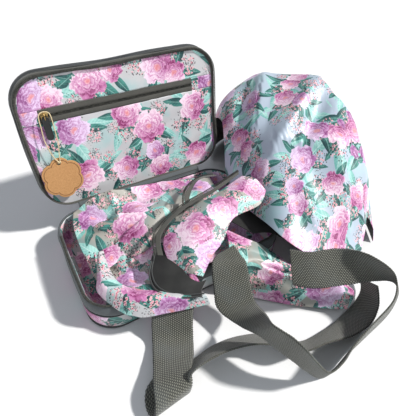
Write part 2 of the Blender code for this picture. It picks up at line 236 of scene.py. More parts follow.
def wave(value, period):
    """A sine of a length in metres, from 0 to 1."""
    return (value * (math.tau / period)).math("SINE") * 0.5 + 0.5


# ---------------------------------------------------------------- materials

def draw_leaf(g, name, under, dark, light, rib):
    """Draws the nearest leaf of one layer over the colour under.

    Its attribute runs 0 to 1 along the leaf.
    """
    along, across, seed, _ = g.attribute(name)
    place = g.vector(along, across, seed)
    rough_edge = g.noise(place, 4.0) - 0.5
    width = (along * (along * -1.0 + 1.0) * 4.0).math("MAXIMUM", 0.0) ** 0.75
    width = width * (along * -0.12 + 0.23) + rough_edge * 0.03 * width
    inside = (width - across.math("ABSOLUTE")).step(-0.004, 0.012)
    shade = g.noise(place, 3.2, 3.0) * 1.1 + across * 1.6 - 0.08
    vein = wave(along * 0.9 - across.math("ABSOLUTE") * 0.9, 0.11)
    color = g.mix((shade + vein * 0.16).step(0.15, 0.95), dark, light)
    midrib = across.math("ABSOLUTE").step(0.016, 0.004) * along.step(0.95, 0.7)
    color = g.mix(midrib * 0.75, color, rib)
    stem = across.math("ABSOLUTE").step(0.017, 0.006) * along.step(-0.34, -0.30) * along.step(0.03, 0.0)
    return g.mix((inside + stem).math("MINIMUM", 1.0), under, color)


# Each ring of petals: its size, its lobes and its turn, from the outermost in
BLOOM_RINGS = ((1.06, 2.5, 0.0), (0.78, 2.0, 1.1), (0.56, 2.5, 0.4), (0.36, 1.5, 2.1), (0.20, 1.5, 0.9))


def draw_bloom(g, under):
    """Draws the nearest peony in rings of ruffled petals.

    Each petal is pale at its rim and deep where the next ring covers it.
    """
    x, y, seed, _ = g.attribute("bloom")
    place = g.vector(x, y, seed)
    wobble = g.noise(place, 2.6, 2.0) - 0.5
    drift = g.noise(g.vector(y, x, seed + 7.0), 2.6, 2.0) - 0.5
    x = x + wobble * 0.55
    y = y + drift * 0.55
    radius = (x * x + y * y).math("SQRT")
    angle = y.math("ARCTAN2", x)
    edges = []
    for size, petals, turn in BLOOM_RINGS:
        lobe = (angle * petals + seed * 6.0 + turn).math("COSINE").math("ABSOLUTE")
        ruffle = g.noise(g.vector(x, y, seed + turn), 6.0, 2.0) - 0.5
        edges.append((lobe ** 0.5 * 0.30 + ruffle * 0.34 + 0.78) * size)
    tilt = x * (seed * 2.4).math("COSINE") + y * (seed * 2.4).math("SINE")
    tilt = tilt + (g.noise(g.vector(x, y, seed + 1.7), 2.2, 1.0) - 0.5) * 1.6
    color = under
    violet = g.noise(g.vector(seed * 3.1, 0.4, 0.2), 2.3, 0.0).step(0.50, 0.62)
    for (size, _, turn), edge, inner in zip(BLOOM_RINGS, edges, edges[1:] + [0.0]):
        inside = (edge - radius).step(0.0, 0.030)
        depth = (radius - inner) / (edge - inner).math("MAXIMUM", 0.05)
        streak = g.noise(g.vector(angle * 2.6, radius * 1.1, seed + turn), 4.0, 3.0) - 0.5
        light = depth * 0.50 + streak * 0.80 + tilt * 0.42 + 0.30
        petal = g.mix(light.step(-0.05, 0.40), (0.23, 0.015, 0.110), (0.62, 0.220, 0.450))
        petal = g.mix(light.step(0.30, 0.95), petal, (0.95, 0.74, 0.85))
        lilac = g.mix(light.step(0.0, 0.9), (0.26, 0.090, 0.300), (0.72, 0.58, 0.88))
        color = g.mix(inside, color, g.mix(violet * 0.55, petal, lilac))
    heart = (radius + wobble * 0.5).step(0.30, 0.06)
    return g.mix(heart * 0.7, color, (0.80, 0.26, 0.22))


def draw_berries(g, under, cloth):
    """Clusters of small coral-pink blossoms on dark stems with black buds among them."""
    x, y, seed, _ = g.attribute("berry")
    radius = (x * x + y * y).math("SQRT") + (g.noise(g.vector(x, y, seed), 2.2) - 0.5) * 1.1
    cluster = radius.step(1.02, 0.90)
    stems = g.cells(cloth, 210.0, "DISTANCE_TO_EDGE").step(0.07, 0.02) * radius.step(0.9, 0.5)
    color = g.mix(stems * cluster * 0.7, under, (0.10, 0.05, 0.07))
    dot = g.cells(cloth, 300.0)
    petal = g.mix(dot.step(0.08, 0.40), (0.62, 0.13, 0.20), (0.90, 0.56, 0.60))
    color = g.mix(dot.step(0.50, 0.38) * cluster, color, petal)
    bud = g.cells(g.vector(x * 1.7 + y * 0.6, y - x * 0.3, seed), 3.3).step(0.36, 0.27)
    return g.mix(bud * radius.step(1.30, 1.16), color, (0.018, 0.010, 0.022))


def floral(name, ground, tint):
    """Peony print on a pale cloth with a light water-resistant sheen."""
    g = Graph(name)
    u, v, _, cloth = g.attribute("cloth")
    wash = g.noise(cloth, 24.0, 3.0)
    # ground is the cloth's pale colour, or in the print's copies a darker or blue-grey ground that is
    # painted shade
    color = g.mix(wash.step(0.48, 0.70) * 0.85, ground, tint)
    speck = g.cells(cloth, 70.0).step(0.10, 0.05) * g.noise(cloth, 31.0).step(0.5, 0.6)
    color = g.mix(speck * 0.6, color, (0.70, 0.30, 0.36))
    color = draw_leaf(g, "leaf_pale", color, (0.17, 0.47, 0.43), (0.46, 0.76, 0.70), (0.66, 0.84, 0.80))
    color = draw_leaf(g, "leaf_dark", color, (0.012, 0.060, 0.065), (0.075, 0.300, 0.255),
                      (0.30, 0.56, 0.50))
    color = draw_berries(g, color, cloth)
    color = draw_bloom(g, color)
    thread = wave(u, 0.00042) * wave(v, 0.00042)
    grain = g.noise(cloth, 900.0, 1.0)
    return g.shader(color=color, roughness=g.noise(cloth, 40.0) * 0.12 + 0.36,
                    bump=thread * 0.6 + grain * 0.4, bump_mm=0.03, Sheen_Weight=0.12, Sheen_Roughness=0.4,
                    Specular_IOR_Level=0.55)


def plain_cloth(name, color, shade, scale_mm, roughness=0.6, bump_mm=0.05):
    """Plain woven lining cloth with slight mottling."""
    g = Graph(name)
    u, v, _, cloth = g.attribute("cloth")
    mottle = g.noise(cloth, 60.0, 3.0)
    thread = wave(u, scale_mm * MM) * wave(v, scale_mm * MM)
    return g.shader(color=g.mix(mottle.step(0.3, 0.7), color, shade),
                    roughness=mottle * 0.15 + (roughness - 0.08),
                    bump=thread * 0.7 + g.noise(cloth, 500.0) * 0.5, bump_mm=bump_mm, Sheen_Weight=0.15)


def ribbed_tape(name, color, shade, rib_mm):
    """Zip tape: fine ribs along its length crossed by the weft, lighter on the ribs' crowns and darker
    between them, with a random dusty mottling.
    """
    g = Graph(name)
    u, v, _, cloth = g.attribute("cloth")
    ribs = wave(v, rib_mm * MM)
    weft = wave(u, 0.0006)
    dust = g.noise(cloth, 45.0, 3.0)
    tone = ribs * 0.55 + weft * 0.2 + dust * 0.5 - 0.15
    return g.shader(color=g.mix(tone.step(0.0, 1.0), color, shade), roughness=dust * 0.2 + 0.55,
                    bump=ribs + weft * 0.3, bump_mm=0.16, Sheen_Weight=0.2, Sheen_Roughness=0.5)


def webbing():
    """Coarse cotton webbing: rows of plump picks, each offset from the last, between darker gaps."""
    g = Graph("cotton_webbing")
    u, v, _, cloth = g.attribute("cloth")
    pitch_u, pitch_v = 0.0024, 0.0017
    row = (v / pitch_v).math("FLOOR")
    shift = (row * 0.5).math("FRACT")
    fray = (g.noise(cloth, 260.0) - 0.5) * 0.16
    along = ((u / pitch_u + shift + fray).math("FRACT") - 0.5).math("ABSOLUTE")
    over = ((v / pitch_v + fray).math("FRACT") - 0.5).math("ABSOLUTE")
    pick = (along * along * 3.4 + over * over * 3.0).math("SQRT")
    height = pick.step(1.0, 0.18)
    strand = g.noise(g.vector(u * 0.35, v, 0.0), 3200.0, 1.0)
    wear = g.noise(cloth, 32.0, 3.0)
    tone = height * 0.75 + strand * 0.22 + wear * 0.30 - 0.22
    color = g.mix(tone.step(0.0, 0.95), (0.030, 0.031, 0.026), (0.270, 0.272, 0.220))
    color = g.mix(wear.step(0.45, 0.72) * 0.35, color, (0.10, 0.115, 0.120))
    return g.shader(color=color, roughness=strand * 0.15 + 0.75, bump=height + strand * 0.25, bump_mm=0.45,
                    Sheen_Weight=0.3, Sheen_Roughness=0.5)


def coil_nylon():
    g = Graph("coil_nylon")
    wear = g.noise(g.object_place(), 400.0, 2.0)
    return g.shader(color=g.mix(wear.step(0.35, 0.7), (0.030, 0.031, 0.026), (0.085, 0.085, 0.068)),
                    roughness=wear * 0.25 + 0.3, bump=wear, bump_mm=0.05)


def binding_cloth():
    g = Graph("bound_edge")
    place = g.object_place()
    twill = g.noise(place, 900.0, 1.0)
    return g.shader(color=g.mix(twill, (0.018, 0.020, 0.021), (0.060, 0.064, 0.062)), roughness=0.62,
                    bump=twill, bump_mm=0.08, Sheen_Weight=0.2)


def aged_brass():
    g = Graph("aged_brass")
    place = g.object_place()
    patina = g.noise(place, 260.0, 4.0)
    scratch = g.noise(place, 1800.0, 2.0)
    color = g.mix(patina.step(0.42, 0.68), (0.62, 0.43, 0.17), (0.16, 0.105, 0.045))
    return g.shader(color=color, roughness=patina * 0.35 + scratch * 0.1 + 0.12, bump=scratch, bump_mm=0.02,
                    Metallic=1.0)


def moulded_black():
    g = Graph("moulded_pull")
    grain = g.noise(g.object_place(), 1500.0, 2.0)
    smudge = g.noise(g.object_place(), 120.0, 2.0)
    return g.shader(color=g.mix(smudge, (0.010, 0.011, 0.011), (0.026, 0.028, 0.027)),
                    roughness=smudge * 0.25 + 0.3, bump=grain, bump_mm=0.04)


def cork_sheet():
    """Pressed cork: warm granules with dark flecks."""
    g = Graph("cork_sheet")
    place = g.object_place()
    granules = g.cells(place, 1500.0)
    tone = g.noise(place, 620.0, 4.0, 0.65)
    fleck = g.cells(place, 420.0).step(0.16, 0.06) * g.noise(place, 170.0).step(0.45, 0.6)
    color = g.mix(tone.step(0.2, 0.8), (0.47, 0.235, 0.085), (0.62, 0.345, 0.140))
    color = g.mix(granules * 0.30, color, (0.36, 0.17, 0.07))
    color = g.mix(fleck * 0.8, color, (0.13, 0.055, 0.022))
    return g.shader(color=color, roughness=0.82, bump=granules * 0.6 + tone - fleck, bump_mm=0.18)


def engraved_cork():
    g = Graph("engraved_line")
    tone = g.noise(g.object_place(), 700.0, 2.0)
    return g.shader(color=g.mix(tone, (0.085, 0.034, 0.014), (0.20, 0.085, 0.035)), roughness=0.9,
                    bump=tone, bump_mm=0.1)


def waxed_string():
    g = Graph("waxed_string")
    fibre = g.noise(g.object_place(), 2600.0, 2.0)
    return g.shader(color=g.mix(fibre.step(0.3, 0.7), (0.50, 0.37, 0.18), (0.86, 0.74, 0.48)),
                    roughness=0.6, bump=fibre, bump_mm=0.06)


# ---------------------------------------------------------------- cloth grids, all in millimetres

def spline(points, count):
    """count places along the Catmull-Rom curve through the first axis of an array."""
    points = np.asarray(points, float)
    last = len(points) - 1
    place = np.minimum(np.linspace(0, last, count), last - 1e-9)
    k = place.astype(int)
    f = (place - k).reshape((-1,) + (1,) * (points.ndim - 1))
    p0, p1, p2, p3 = (points[np.clip(k + d, 0, last)] for d in (-1, 0, 1, 2))
    return 0.5 * (2 * p1 + (p2 - p0) * f + (2 * p0 - 5 * p1 + 4 * p2 - p3) * f ** 2
                  + (3 * p1 - p0 - 3 * p2 + p3) * f ** 3)


def resample(grid, rows, columns):
    return np.swapaxes(spline(np.swapaxes(spline(grid, rows), 0, 1), columns), 0, 1)


def cloth_lengths(grid):
    """Each grid point's place in the flat cloth: lengths across and along from the middle of the sheet."""
    across = np.linalg.norm(np.diff(grid, axis=1), axis=2)
    along = np.linalg.norm(np.diff(grid, axis=0), axis=2)
    u = np.concatenate([np.zeros((len(grid), 1)), np.cumsum(across, 1)], 1)
    v = np.concatenate([np.zeros((1, grid.shape[1])), np.cumsum(along, 0)], 0)
    u = u - u[:, [grid.shape[1] // 2]]
    v = v - v[[len(grid) // 2], :]
    return np.stack([u, v], 2)


def relax(grid, flat, rounds):
    """Moves a flat sheet's points until the lengths between them are those of the grid."""
    every, first, last = slice(None), slice(None, -1), slice(1, None)
    pairs = [((every, first), (every, last)), ((first, every), (last, every)),
             ((first, first), (last, last)), ((first, last), (last, first))]
    wanted = [np.linalg.norm(grid[b] - grid[a], axis=2) for a, b in pairs]
    for _ in range(rounds):
        move = np.zeros_like(flat)
        for (a, b), want in zip(pairs, wanted):
            gap = flat[b] - flat[a]
            now = np.maximum(np.linalg.norm(gap, axis=2), 1e-6)
            fix = gap * ((now - want) / now * 0.5)[:, :, None]
            move[a] += fix
            move[b] -= fix
        flat = flat + move * 0.3
    return flat


def flatten(grid):
    """Lays a sheet flat: every grid point's place in the cut cloth, found first on a coarse grid."""
    coarse = resample(grid, 16, 16)
    flat = relax(coarse, cloth_lengths(coarse), 1500)
    return relax(grid, resample(flat, *grid.shape[:2]), 150)


def flat_size(grid):
    """Width, length and area of the sheet as it was cut, in metres."""
    across = np.linalg.norm(np.diff(grid, axis=1), axis=2)
    along = np.linalg.norm(np.diff(grid, axis=0), axis=2)
    width, length = across.sum(1).max() * MM, along.sum(0).max() * MM
    a, b = grid[1:, 1:] - grid[:-1, :-1], grid[1:, :-1] - grid[:-1, 1:]
    area = np.linalg.norm(np.cross(a, b), axis=2).sum() / 2 * MM * MM
    return width, length, min(area, width * length)


def normals_of(grid):
    du = np.gradient(grid, axis=1)
    dv = np.gradient(grid, axis=0)
    normal = np.cross(du, dv)
    return normal / np.maximum(np.linalg.norm(normal, axis=2, keepdims=True), 1e-9)


SIM_SCALE = 10  # the solver works best on a sheet this many times its real size
SIM_STEPS = 25
PIN_SHARE = 1 / 70


def crease(grid, growth, cap, seed, rows, columns):
    """Creases a sheet by cloth simulation: it grows while its edges and scattered points are held.

    cap is the furthest that a point may move, in millimetres.
    """
    coarse = resample(grid, rows, columns)
    rng = np.random.default_rng(seed)
    start = coarse + normals_of(coarse) * rng.normal(0, 0.5, (rows, columns, 1))
    obj = bpy.data.objects.new("crease", grid_mesh("crease", start * SIM_SCALE, None))
    bpy.context.scene.collection.objects.link(obj)
    pinned = rng.random((rows, columns)) < PIN_SHARE
    pinned[[0, -1]] = True
    pinned[:, [0, -1]] = True
    group = obj.vertex_groups.new(name="edges")
    group.add([int(i) for i in np.flatnonzero(pinned)], 1.0, "REPLACE")
    cloth = obj.modifiers.new("cloth", "CLOTH")
    cloth.settings.vertex_group_mass = "edges"
    cloth.settings.quality = 8
    cloth.settings.mass = 0.3
    cloth.settings.tension_stiffness = 40
    cloth.settings.compression_stiffness = 40
    cloth.settings.shear_stiffness = 20
    cloth.settings.bending_stiffness = 0.4
    cloth.settings.shrink_min = -growth
    cloth.settings.effector_weights.gravity = 0.0
    cloth.collision_settings.use_collision = False
    scene = bpy.context.scene
    for step in range(1, SIM_STEPS + 1):
        scene.frame_set(step)
    evaluated = obj.evaluated_get(bpy.context.evaluated_depsgraph_get())
    moved = np.empty(rows * columns * 3, np.float32)
    evaluated.data.vertices.foreach_get("co", moved)
    bpy.data.objects.remove(obj)
    scene.frame_set(1)
    shift = moved.reshape(rows, columns, 3) / SIM_SCALE - coarse
    reach = np.linalg.norm(shift, axis=2, keepdims=True)
    return coarse + shift * cap / np.maximum(cap, reach)


def press_folds(grid, folds):
    """Presses sharp folds into a sheet.

    Each is a start, an end, a height, and the reach of its left and its right side.
    """
    shift = np.zeros(grid.shape[:2])
    for start, end, height, steep, gentle in folds:
        start, end = np.array(start, float), np.array(end, float)
        run = end - start
        along = np.clip(((grid - start) @ run) / (run @ run), 0, 1)
        away = grid - start - along[:, :, None] * run
        side = np.sign(np.cross(run, away)[:, :, 2])
        far = np.linalg.norm(away, axis=2)
        reach = np.where(side > 0, steep, gentle)
        ends = np.sin(np.clip(along * 0.9 + 0.05, 0, 1) * math.pi) ** 0.6
        shift += height * ends * np.clip(1 - far / reach, 0, 1) ** 1.5
    shift *= np.clip(grid[:, :, 2] / 25, 0, 1)
    return grid + normals_of(grid) * shift[:, :, None]


def smooth_mesh(name, points, faces):
    """A smooth mesh from points in millimetres."""
    mesh = bpy.data.meshes.new(name)
    mesh.from_pydata((points * MM).tolist(), [], faces)
    mesh.shade_smooth()
    return mesh


def grid_mesh(name, grid, places, closed=0):
    """A mesh of quads from a grid in millimetres, with its cloth places kept on the face corners.

    closed is the length round the grid where its last column meets its first.
    """
    rows, columns = grid.shape[:2]
    wide = columns if closed else columns - 1
    i, j = np.meshgrid(np.arange(rows - 1), np.arange(wide), indexing="ij")
    k = (j + 1) % columns
    faces = np.stack([i * columns + j, i * columns + k, (i + 1) * columns + k, (i + 1) * columns + j], 2)
    mesh = smooth_mesh(name, grid.reshape(-1, 3), faces.reshape(-1, 4).tolist())
    if places is not None:
        ends = places if not closed else np.concatenate([places, places[:, :1] + [closed, 0]], 1)
        n = ends.shape[1]
        corner = np.stack([i * n + j, i * n + j + 1, (i + 1) * n + j + 1, (i + 1) * n + j], 2)
        flat = ends.reshape(-1, 2)[corner.reshape(-1)] * MM
        put_attribute(mesh, "cloth", np.concatenate([flat, np.zeros((corner.size, 1))], 1))
    return mesh


def put_attribute(mesh, name, values):
    layer = mesh.attributes.new(name, "FLOAT_VECTOR", "CORNER")
    layer.data.foreach_set("vector", np.asarray(values, np.float32).reshape(-1))


def cloth_places(mesh):
    values = np.empty(len(mesh.loops) * 3, np.float32)
    mesh.attributes["cloth"].data.foreach_get("vector", values)
    return values.reshape(-1, 3)[:, :2] / MM


# ---------------------------------------------------------------- where the print's motifs lie

BLOOM_SPACING = 47.0
BLOOM_RADIUS = (12.5, 20.0)
LEAF_LENGTH = (22.0, 34.0)
BERRY_RADIUS = (8.5, 13.0)


def scatter_blooms(low, high, rng, given):
    """Blooms (u, v, radius): the given ones first, then as many as fit at the print's spacing."""
    blooms = [tuple(b) for b in given]
    span = high - low
    for _ in range(int(span[0] * span[1] / 60)):
        place = low + rng.random(2) * span
        radius = rng.uniform(*BLOOM_RADIUS)
        if all(math.dist(place, b[:2]) > BLOOM_SPACING * rng.uniform(0.78, 1.25) for b in blooms):
            blooms.append((*place, radius))
            if rng.random() < 0.5:
                angle = rng.uniform(0, math.tau)
                beside = place + radius * 1.6 * np.array([math.cos(angle), math.sin(angle)])
                blooms.append((*beside, radius * rng.uniform(0.75, 0.95)))
    return np.array(blooms)


def leaves_round(blooms, rng, count, start, wide):
    """Leaves (u, v, length, angle) that reach out from under each bloom."""
    leaves = []
    for u, v, radius in blooms:
        turn = rng.uniform(0, math.tau)
        for k in range(count):
            angle = turn + math.tau * k / count + rng.uniform(-0.35, 0.35)
            out = radius * start
            leaves.append((u + out * math.cos(angle), v + out * math.sin(angle),
                           rng.uniform(*LEAF_LENGTH) * wide, angle + rng.uniform(-0.5, 0.5)))
    return np.array(leaves)


def clusters_round(blooms, rng, low, high):
    """Berry clusters (u, v, radius) beside the blooms and a few on their own."""
    clusters = []
    for u, v, radius in blooms:
        turn = rng.uniform(0, math.tau)
        for k in range(2):
            angle = turn + k * rng.uniform(1.8, 3.2)
            out = radius * rng.uniform(1.15, 1.5)
            clusters.append((u + out * math.cos(angle), v + out * math.sin(angle),
                             rng.uniform(*BERRY_RADIUS)))
    for _ in range(len(blooms)):
        clusters.append((*(low + rng.random(2) * (high - low)), rng.uniform(*BERRY_RADIUS) * 0.8))
    return np.array(clusters)


def nearest(centres, motifs, measure):
    """For each face, the motif with the smallest measure."""
    best, chosen = np.full(len(centres), np.inf), np.zeros(len(centres), int)
    for k, motif in enumerate(motifs):
        far = measure(centres, motif)
        better = far < best
        best[better], chosen[better] = far[better], k
    return chosen


def round_measure(points, motif):
    return np.hypot(points[:, 0] - motif[0], points[:, 1] - motif[1]) / motif[2]


def leaf_axes(points, motif):
    """Places along and across a leaf, in units of its length."""
    u, v = (points[:, 0] - motif[0]) / motif[2], (points[:, 1] - motif[1]) / motif[2]
    c, s = math.cos(motif[3]), math.sin(motif[3])
    return u * c + v * s, v * c - u * s


def leaf_measure(points, motif):
    along, across = leaf_axes(points, motif)
    beyond = np.maximum(np.maximum(along - 1, -along), 0)
    return np.hypot(beyond, across * 1.4) * motif[2]


def lay_print(mesh, seed, blooms=()):
    """Lays the print's motifs over a sheet and keeps each face's nearest ones as attributes."""
    places = cloth_places(mesh)
    rng = np.random.default_rng(seed)
    low, high = places.min(0), places.max(0)
    blooms = scatter_blooms(low, high, rng, blooms)
    centres = places.reshape(-1, 4, 2).mean(1)
    per_corner = np.arange(len(places)) // 4
    rounds = {"bloom": blooms, "berry": clusters_round(blooms, rng, low, high)}
    for name, motifs in rounds.items():
        chosen = nearest(centres, motifs, round_measure)[per_corner]
        picked = motifs[chosen]
        local = (places - picked[:, :2]) / picked[:, 2:3]
        put_attribute(mesh, name, np.concatenate([local, (chosen[:, None] * 0.37) % 5.0], 1))
    layers = {"leaf_dark": leaves_round(blooms, rng, 4, 0.62, 1.0),
              "leaf_pale": leaves_round(blooms, rng, 3, 0.9, 1.2)}
    for name, motifs in layers.items():
        chosen = nearest(centres, motifs, leaf_measure)[per_corner]
        values = np.zeros((len(places), 3))
        for k, motif in enumerate(motifs):
            mine = chosen == k
            values[mine, 0], values[mine, 1] = leaf_axes(places[mine], motif)
        values[:, 2] = (chosen * 0.61) % 5.0
        put_attribute(mesh, name, values)


# ---------------------------------------------------------------- pieces

def add_piece(name, mesh, material, body, replaces=(), matrix=None):
    obj = bpy.data.objects.new(name, mesh)
    bpy.context.scene.collection.objects.link(obj)
    obj.data.materials.append(material)
    if matrix is not None:
        obj.data.transform(matrix)
    if body:
        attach(obj, body)
    if replaces:
        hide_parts(*replaces)
    return obj


def thicken(obj, thickness, inner=None):
    """Gives a sheet its thickness. inner is a material for the side that the normals point away from."""
    solid = obj.modifiers.new("thickness", "SOLIDIFY")
    solid.thickness = thickness * MM
    solid.offset = 0.0
    if inner is not None:
        obj.data.materials.append(inner)
        solid.material_offset = 1


def cloth_piece(name, grid, step, material, body="base_and_tote", seed=None, blooms=(), replaces=(),
                matrix=None, thickness=CLOTH_T, inner=None, unroll=cloth_lengths):
    """A sheet of cloth on a grid, printed where it has a seed.
    """
    width, length, area = flat_size(grid)
    rows = max(4, int(length / MM / step))
    columns = max(4, int(width / MM / step))
    fine = resample(grid, rows, columns)
    places = resample(unroll(grid), rows, columns)
    mesh = grid_mesh(name, fine, places)
    if seed is not None:
        lay_print(mesh, seed, blooms)
    obj = add_piece(name, mesh, material, body, replaces, matrix)
    thicken(obj, thickness, inner)
    return obj


def frames_along(path):
    """Two directions square to a path at each of its points, turning as little as they can."""
    tangent = np.gradient(path, axis=0)
    tangent /= np.maximum(np.linalg.norm(tangent, axis=1, keepdims=True), 1e-9)
    side = np.cross(tangent[0], (0.0, 0.0, 1.0))
    if np.linalg.norm(side) < 0.1:
        side = np.cross(tangent[0], (0.0, 1.0, 0.0))
    sides = []
    for t in tangent:
        side = side - t * np.dot(side, t)
        side = side / np.linalg.norm(side)
        sides.append(side)
    sides = np.array(sides)
    return sides, np.cross(tangent, sides)


def even_path(points, step):
    points = np.asarray(points, float)
    along = np.concatenate([[0], np.cumsum(np.linalg.norm(np.diff(points, axis=0), axis=1))])
    at = np.linspace(0, along[-1], max(3, int(along[-1] / step)))
    return np.stack([np.interp(at, along, points[:, k]) for k in range(3)], 1)


def tube_faces(rings, sides, start=0):
    """The quads between a tube's rings of points, and its two end caps."""
    faces = []
    for i in range(start, start + (rings - 1) * sides, sides):
        for j in range(sides):
            k = (j + 1) % sides
            faces.append((i + j, i + k, i + sides + k, i + sides + j))
    first, last = range(start, start + sides), start + (rings - 1) * sides
    return faces + [tuple(reversed(first)), tuple(range(last, last + sides))]


def tube_mesh(name, path, radius, sides=8, widen=1.0):
    """A closed round tube along a path in millimetres, with rounded ends."""
    side, up = frames_along(path)
    angle = np.arange(sides)[:, None] * math.tau / sides
    ring = np.cos(angle) * side[:, None] + widen * np.sin(angle) * up[:, None]
    sizes = np.ones(len(path)) * radius
    sizes[[0, -1]] = radius * 0.55
    points = (path[:, None] + ring * sizes[:, None, None]).reshape(-1, 3)
    return smooth_mesh(name, points, tube_faces(len(path), sides))


def coil_path(path, radius, pitch, steps=9):
    """A helix round a path, as a nylon zip coil is wound."""
    length = np.linalg.norm(np.diff(path, axis=0), axis=1).sum()
    count = int(length / pitch * steps)
    spine = even_path(path, length / count)
    side, up = frames_along(spine)
    turn = np.arange(len(spine)) * math.tau / steps
    return spine + radius * (np.cos(turn)[:, None] * side + 0.8 * np.sin(turn)[:, None] * up)


def stitches_mesh(name, path, pitch=3.2, length=2.2, radius=0.22, sides=5):
    """A row of sewn stitches: short humped threads along a path."""
    marks = even_path(path, pitch)
    points, faces = [], []
    for a, b in zip(marks[:-1], marks[1:]):
        ahead = (b - a) / max(np.linalg.norm(b - a), 1e-9)
        side = np.cross(ahead, (0.0, 0.0, 1.0))
        side = side / max(np.linalg.norm(side), 1e-9)
        up = np.cross(side, ahead)
        faces += tube_faces(4, sides, len(points))
        for t, size, rise in ((0.0, 0.5, -0.5), (0.25, 1.0, 0.3), (0.75, 1.0, 0.3), (1.0, 0.5, -0.5)):
            centre = a + ahead * length * t + up * radius * rise
            for j in range(sides):
                angle = j * math.tau / sides
                points.append(centre + size * radius * (side * math.cos(angle) + up * math.sin(angle)))
    return smooth_mesh(name, np.array(points), faces)


# ---------------------------------------------------------------- the case's shapes

def case_outline(inset, centre_y, corner_steps=12, side_step=2.5):
    """The case's rounded outline as a closed loop, from the right side's far end round by the far side."""
    radius = max(CORNER_R - inset, 1.0)
    half = np.array([CASE_W / 2 - inset - radius, CASE_D / 2 - inset - radius])
    loop = []
    for turn, sign in enumerate(((1, 1), (-1, 1), (-1, -1), (1, -1))):
        centre = np.array([0.0, centre_y]) + half * sign
        for step in range(corner_steps + 1):
            angle = math.pi / 2 * (turn + step / corner_steps)
            loop.append(centre + radius * np.array([math.cos(angle), math.sin(angle)]))
        following = np.array([0.0, centre_y]) + half * ((-1, 1), (-1, -1), (1, -1), (1, 1))[turn]
        angle = math.pi / 2 * (turn + 1)
        goal = following + radius * np.array([math.cos(angle), math.sin(angle)])
        straight = CASE_W - 2 * CORNER_R if turn % 2 == 0 else CASE_D - 2 * CORNER_R
        count = int(straight / side_step)
        loop += [loop[-1] + (goal - loop[-1]) * k / count for k in range(1, count)]
    return np.array(loop)


def hinge_share(centre_y):
    """1 on the outline's hinge side, where the two shells meet when the lid lies back, and 0 elsewhere."""
    toward = 1 if centre_y < HINGE_Y / 2 else -1
    return np.clip((toward * (case_outline(0, centre_y)[:, 1:] - centre_y) - 48) / 22, 0, 1)


def shell_outline(inset, hinge_inset, centre_y):
    """The case's outline at one inset on its free sides and at another beside the hinge."""
    back = hinge_share(centre_y)
    return case_outline(inset, centre_y) * (1 - back) + case_outline(hinge_inset, centre_y) * back


def at_height(loop, z):
    return np.concatenate([loop, np.full((len(loop), 1), z)], 1)


def round_lengths(loop):
    """How far round a closed loop each of its points lies, and the whole way round."""
    edges = np.linalg.norm(np.roll(loop, -1, 0) - loop, axis=1)
    return np.concatenate([[0], np.cumsum(edges)[:-1]]), edges.sum()


def wave_shift(loop, centre_y, waves, heights):
    """How far a soft shell's uneven sides move a loop, for each of the heights (0 to 1) up the shell."""
    run, around = round_lengths(loop)
    outward = loop - np.array([0.0, centre_y])
    outward /= np.linalg.norm(outward, axis=1, keepdims=True)
    return waves(run / around, heights)[:, :, None] * outward * (1 - hinge_share(centre_y))


def ring_grid(profile, centre_y, waves=None):
    """Sweeps a profile of (inset, z) points round the case's outline.

    Returns the grid, its cloth places and the way round.
    """
    profile = np.asarray(profile, float)
    grid = np.array([at_height(shell_outline(inset, max(inset, HINGE_INSET), centre_y), z)
                     for inset, z in profile])
    loop = case_outline(0, centre_y)
    u, around = round_lengths(loop)
    v = np.concatenate([[0], np.cumsum(np.linalg.norm(np.diff(profile, axis=0), axis=1))])
    places = np.stack(np.broadcast_arrays(u[None, :], v[:, None]), 2)
    if waves is not None:
        grid[:, :, :2] += wave_shift(loop, centre_y, waves, np.linspace(0, 1, len(profile)))
    return grid, places, around


def ring_piece(name, profile, centre_y, material, body, thickness, replaces=(), matrix=None,
               waves=None, seed=None):
    """A band of cloth all round the case, printed where it has a seed."""
    grid, places, around = ring_grid(spline(profile, max(len(profile), 9)), centre_y, waves)
    mesh = grid_mesh(name, grid, places, closed=around)
    if seed is not None:
        lay_print(mesh, seed)
    obj = add_piece(name, mesh, material, body, replaces, matrix)
    thicken(obj, thickness)


def plate_grid(low, high, half_w, height, rows=70, columns=100):
    """A sheet over the space between two lines y = low(x) and y = high(x), raised to z = height(x, y)."""
    x = np.sin(np.linspace(-math.pi / 2, math.pi / 2, columns)) * 0.25 + np.linspace(-1, 1, columns) * 0.75
    x = x * half_w
    t = np.linspace(0, 1, rows)[:, None]
    a, b = np.array([low(v) for v in x]), np.array([high(v) for v in x])
    y = a[None] * (1 - t) + b[None] * t
    xs = np.broadcast_to(x[None], y.shape)
    return np.stack([xs, y, height(xs, y)], 2)


def rounded_edge(x, centre_y, inset, side):
    """The outline's y at x, on the side away from the hinge (+1) or near it (-1)."""
    radius = max(CORNER_R - inset, 1.0)
    over = min(max(abs(x) - (HALF_W - inset - radius), 0.0), radius)
    reach = CASE_D / 2 - inset - radius + math.sqrt(max(radius * radius - over * over, 0.0))
    return centre_y + side * reach


def outline_edge(centre_y, inset, side):
    return lambda x: rounded_edge(x, centre_y, inset, side)


def full_plate(centre_y, inset, height):
    """A sheet over the whole of the case's outline."""
    low_edge, high_edge = (outline_edge(centre_y, inset, side) for side in (-1, 1))
    return plate_grid(low_edge, high_edge, HALF_W - inset, height)


def ripple(x, y, period, seed):
    """A gentle uneven swell over a surface, from -1 to 1."""
    rng = np.random.default_rng(seed)
    total = 0.0
    for _ in range(5):
        angle, phase = rng.uniform(0, math.tau, 2)
        size = period * rng.uniform(0.7, 1.6)
        total = total + np.sin((x * math.cos(angle) + y * math.sin(angle)) * math.tau / size + phase)
    return total / 3.2


# ---------------------------------------------------------------- the lid

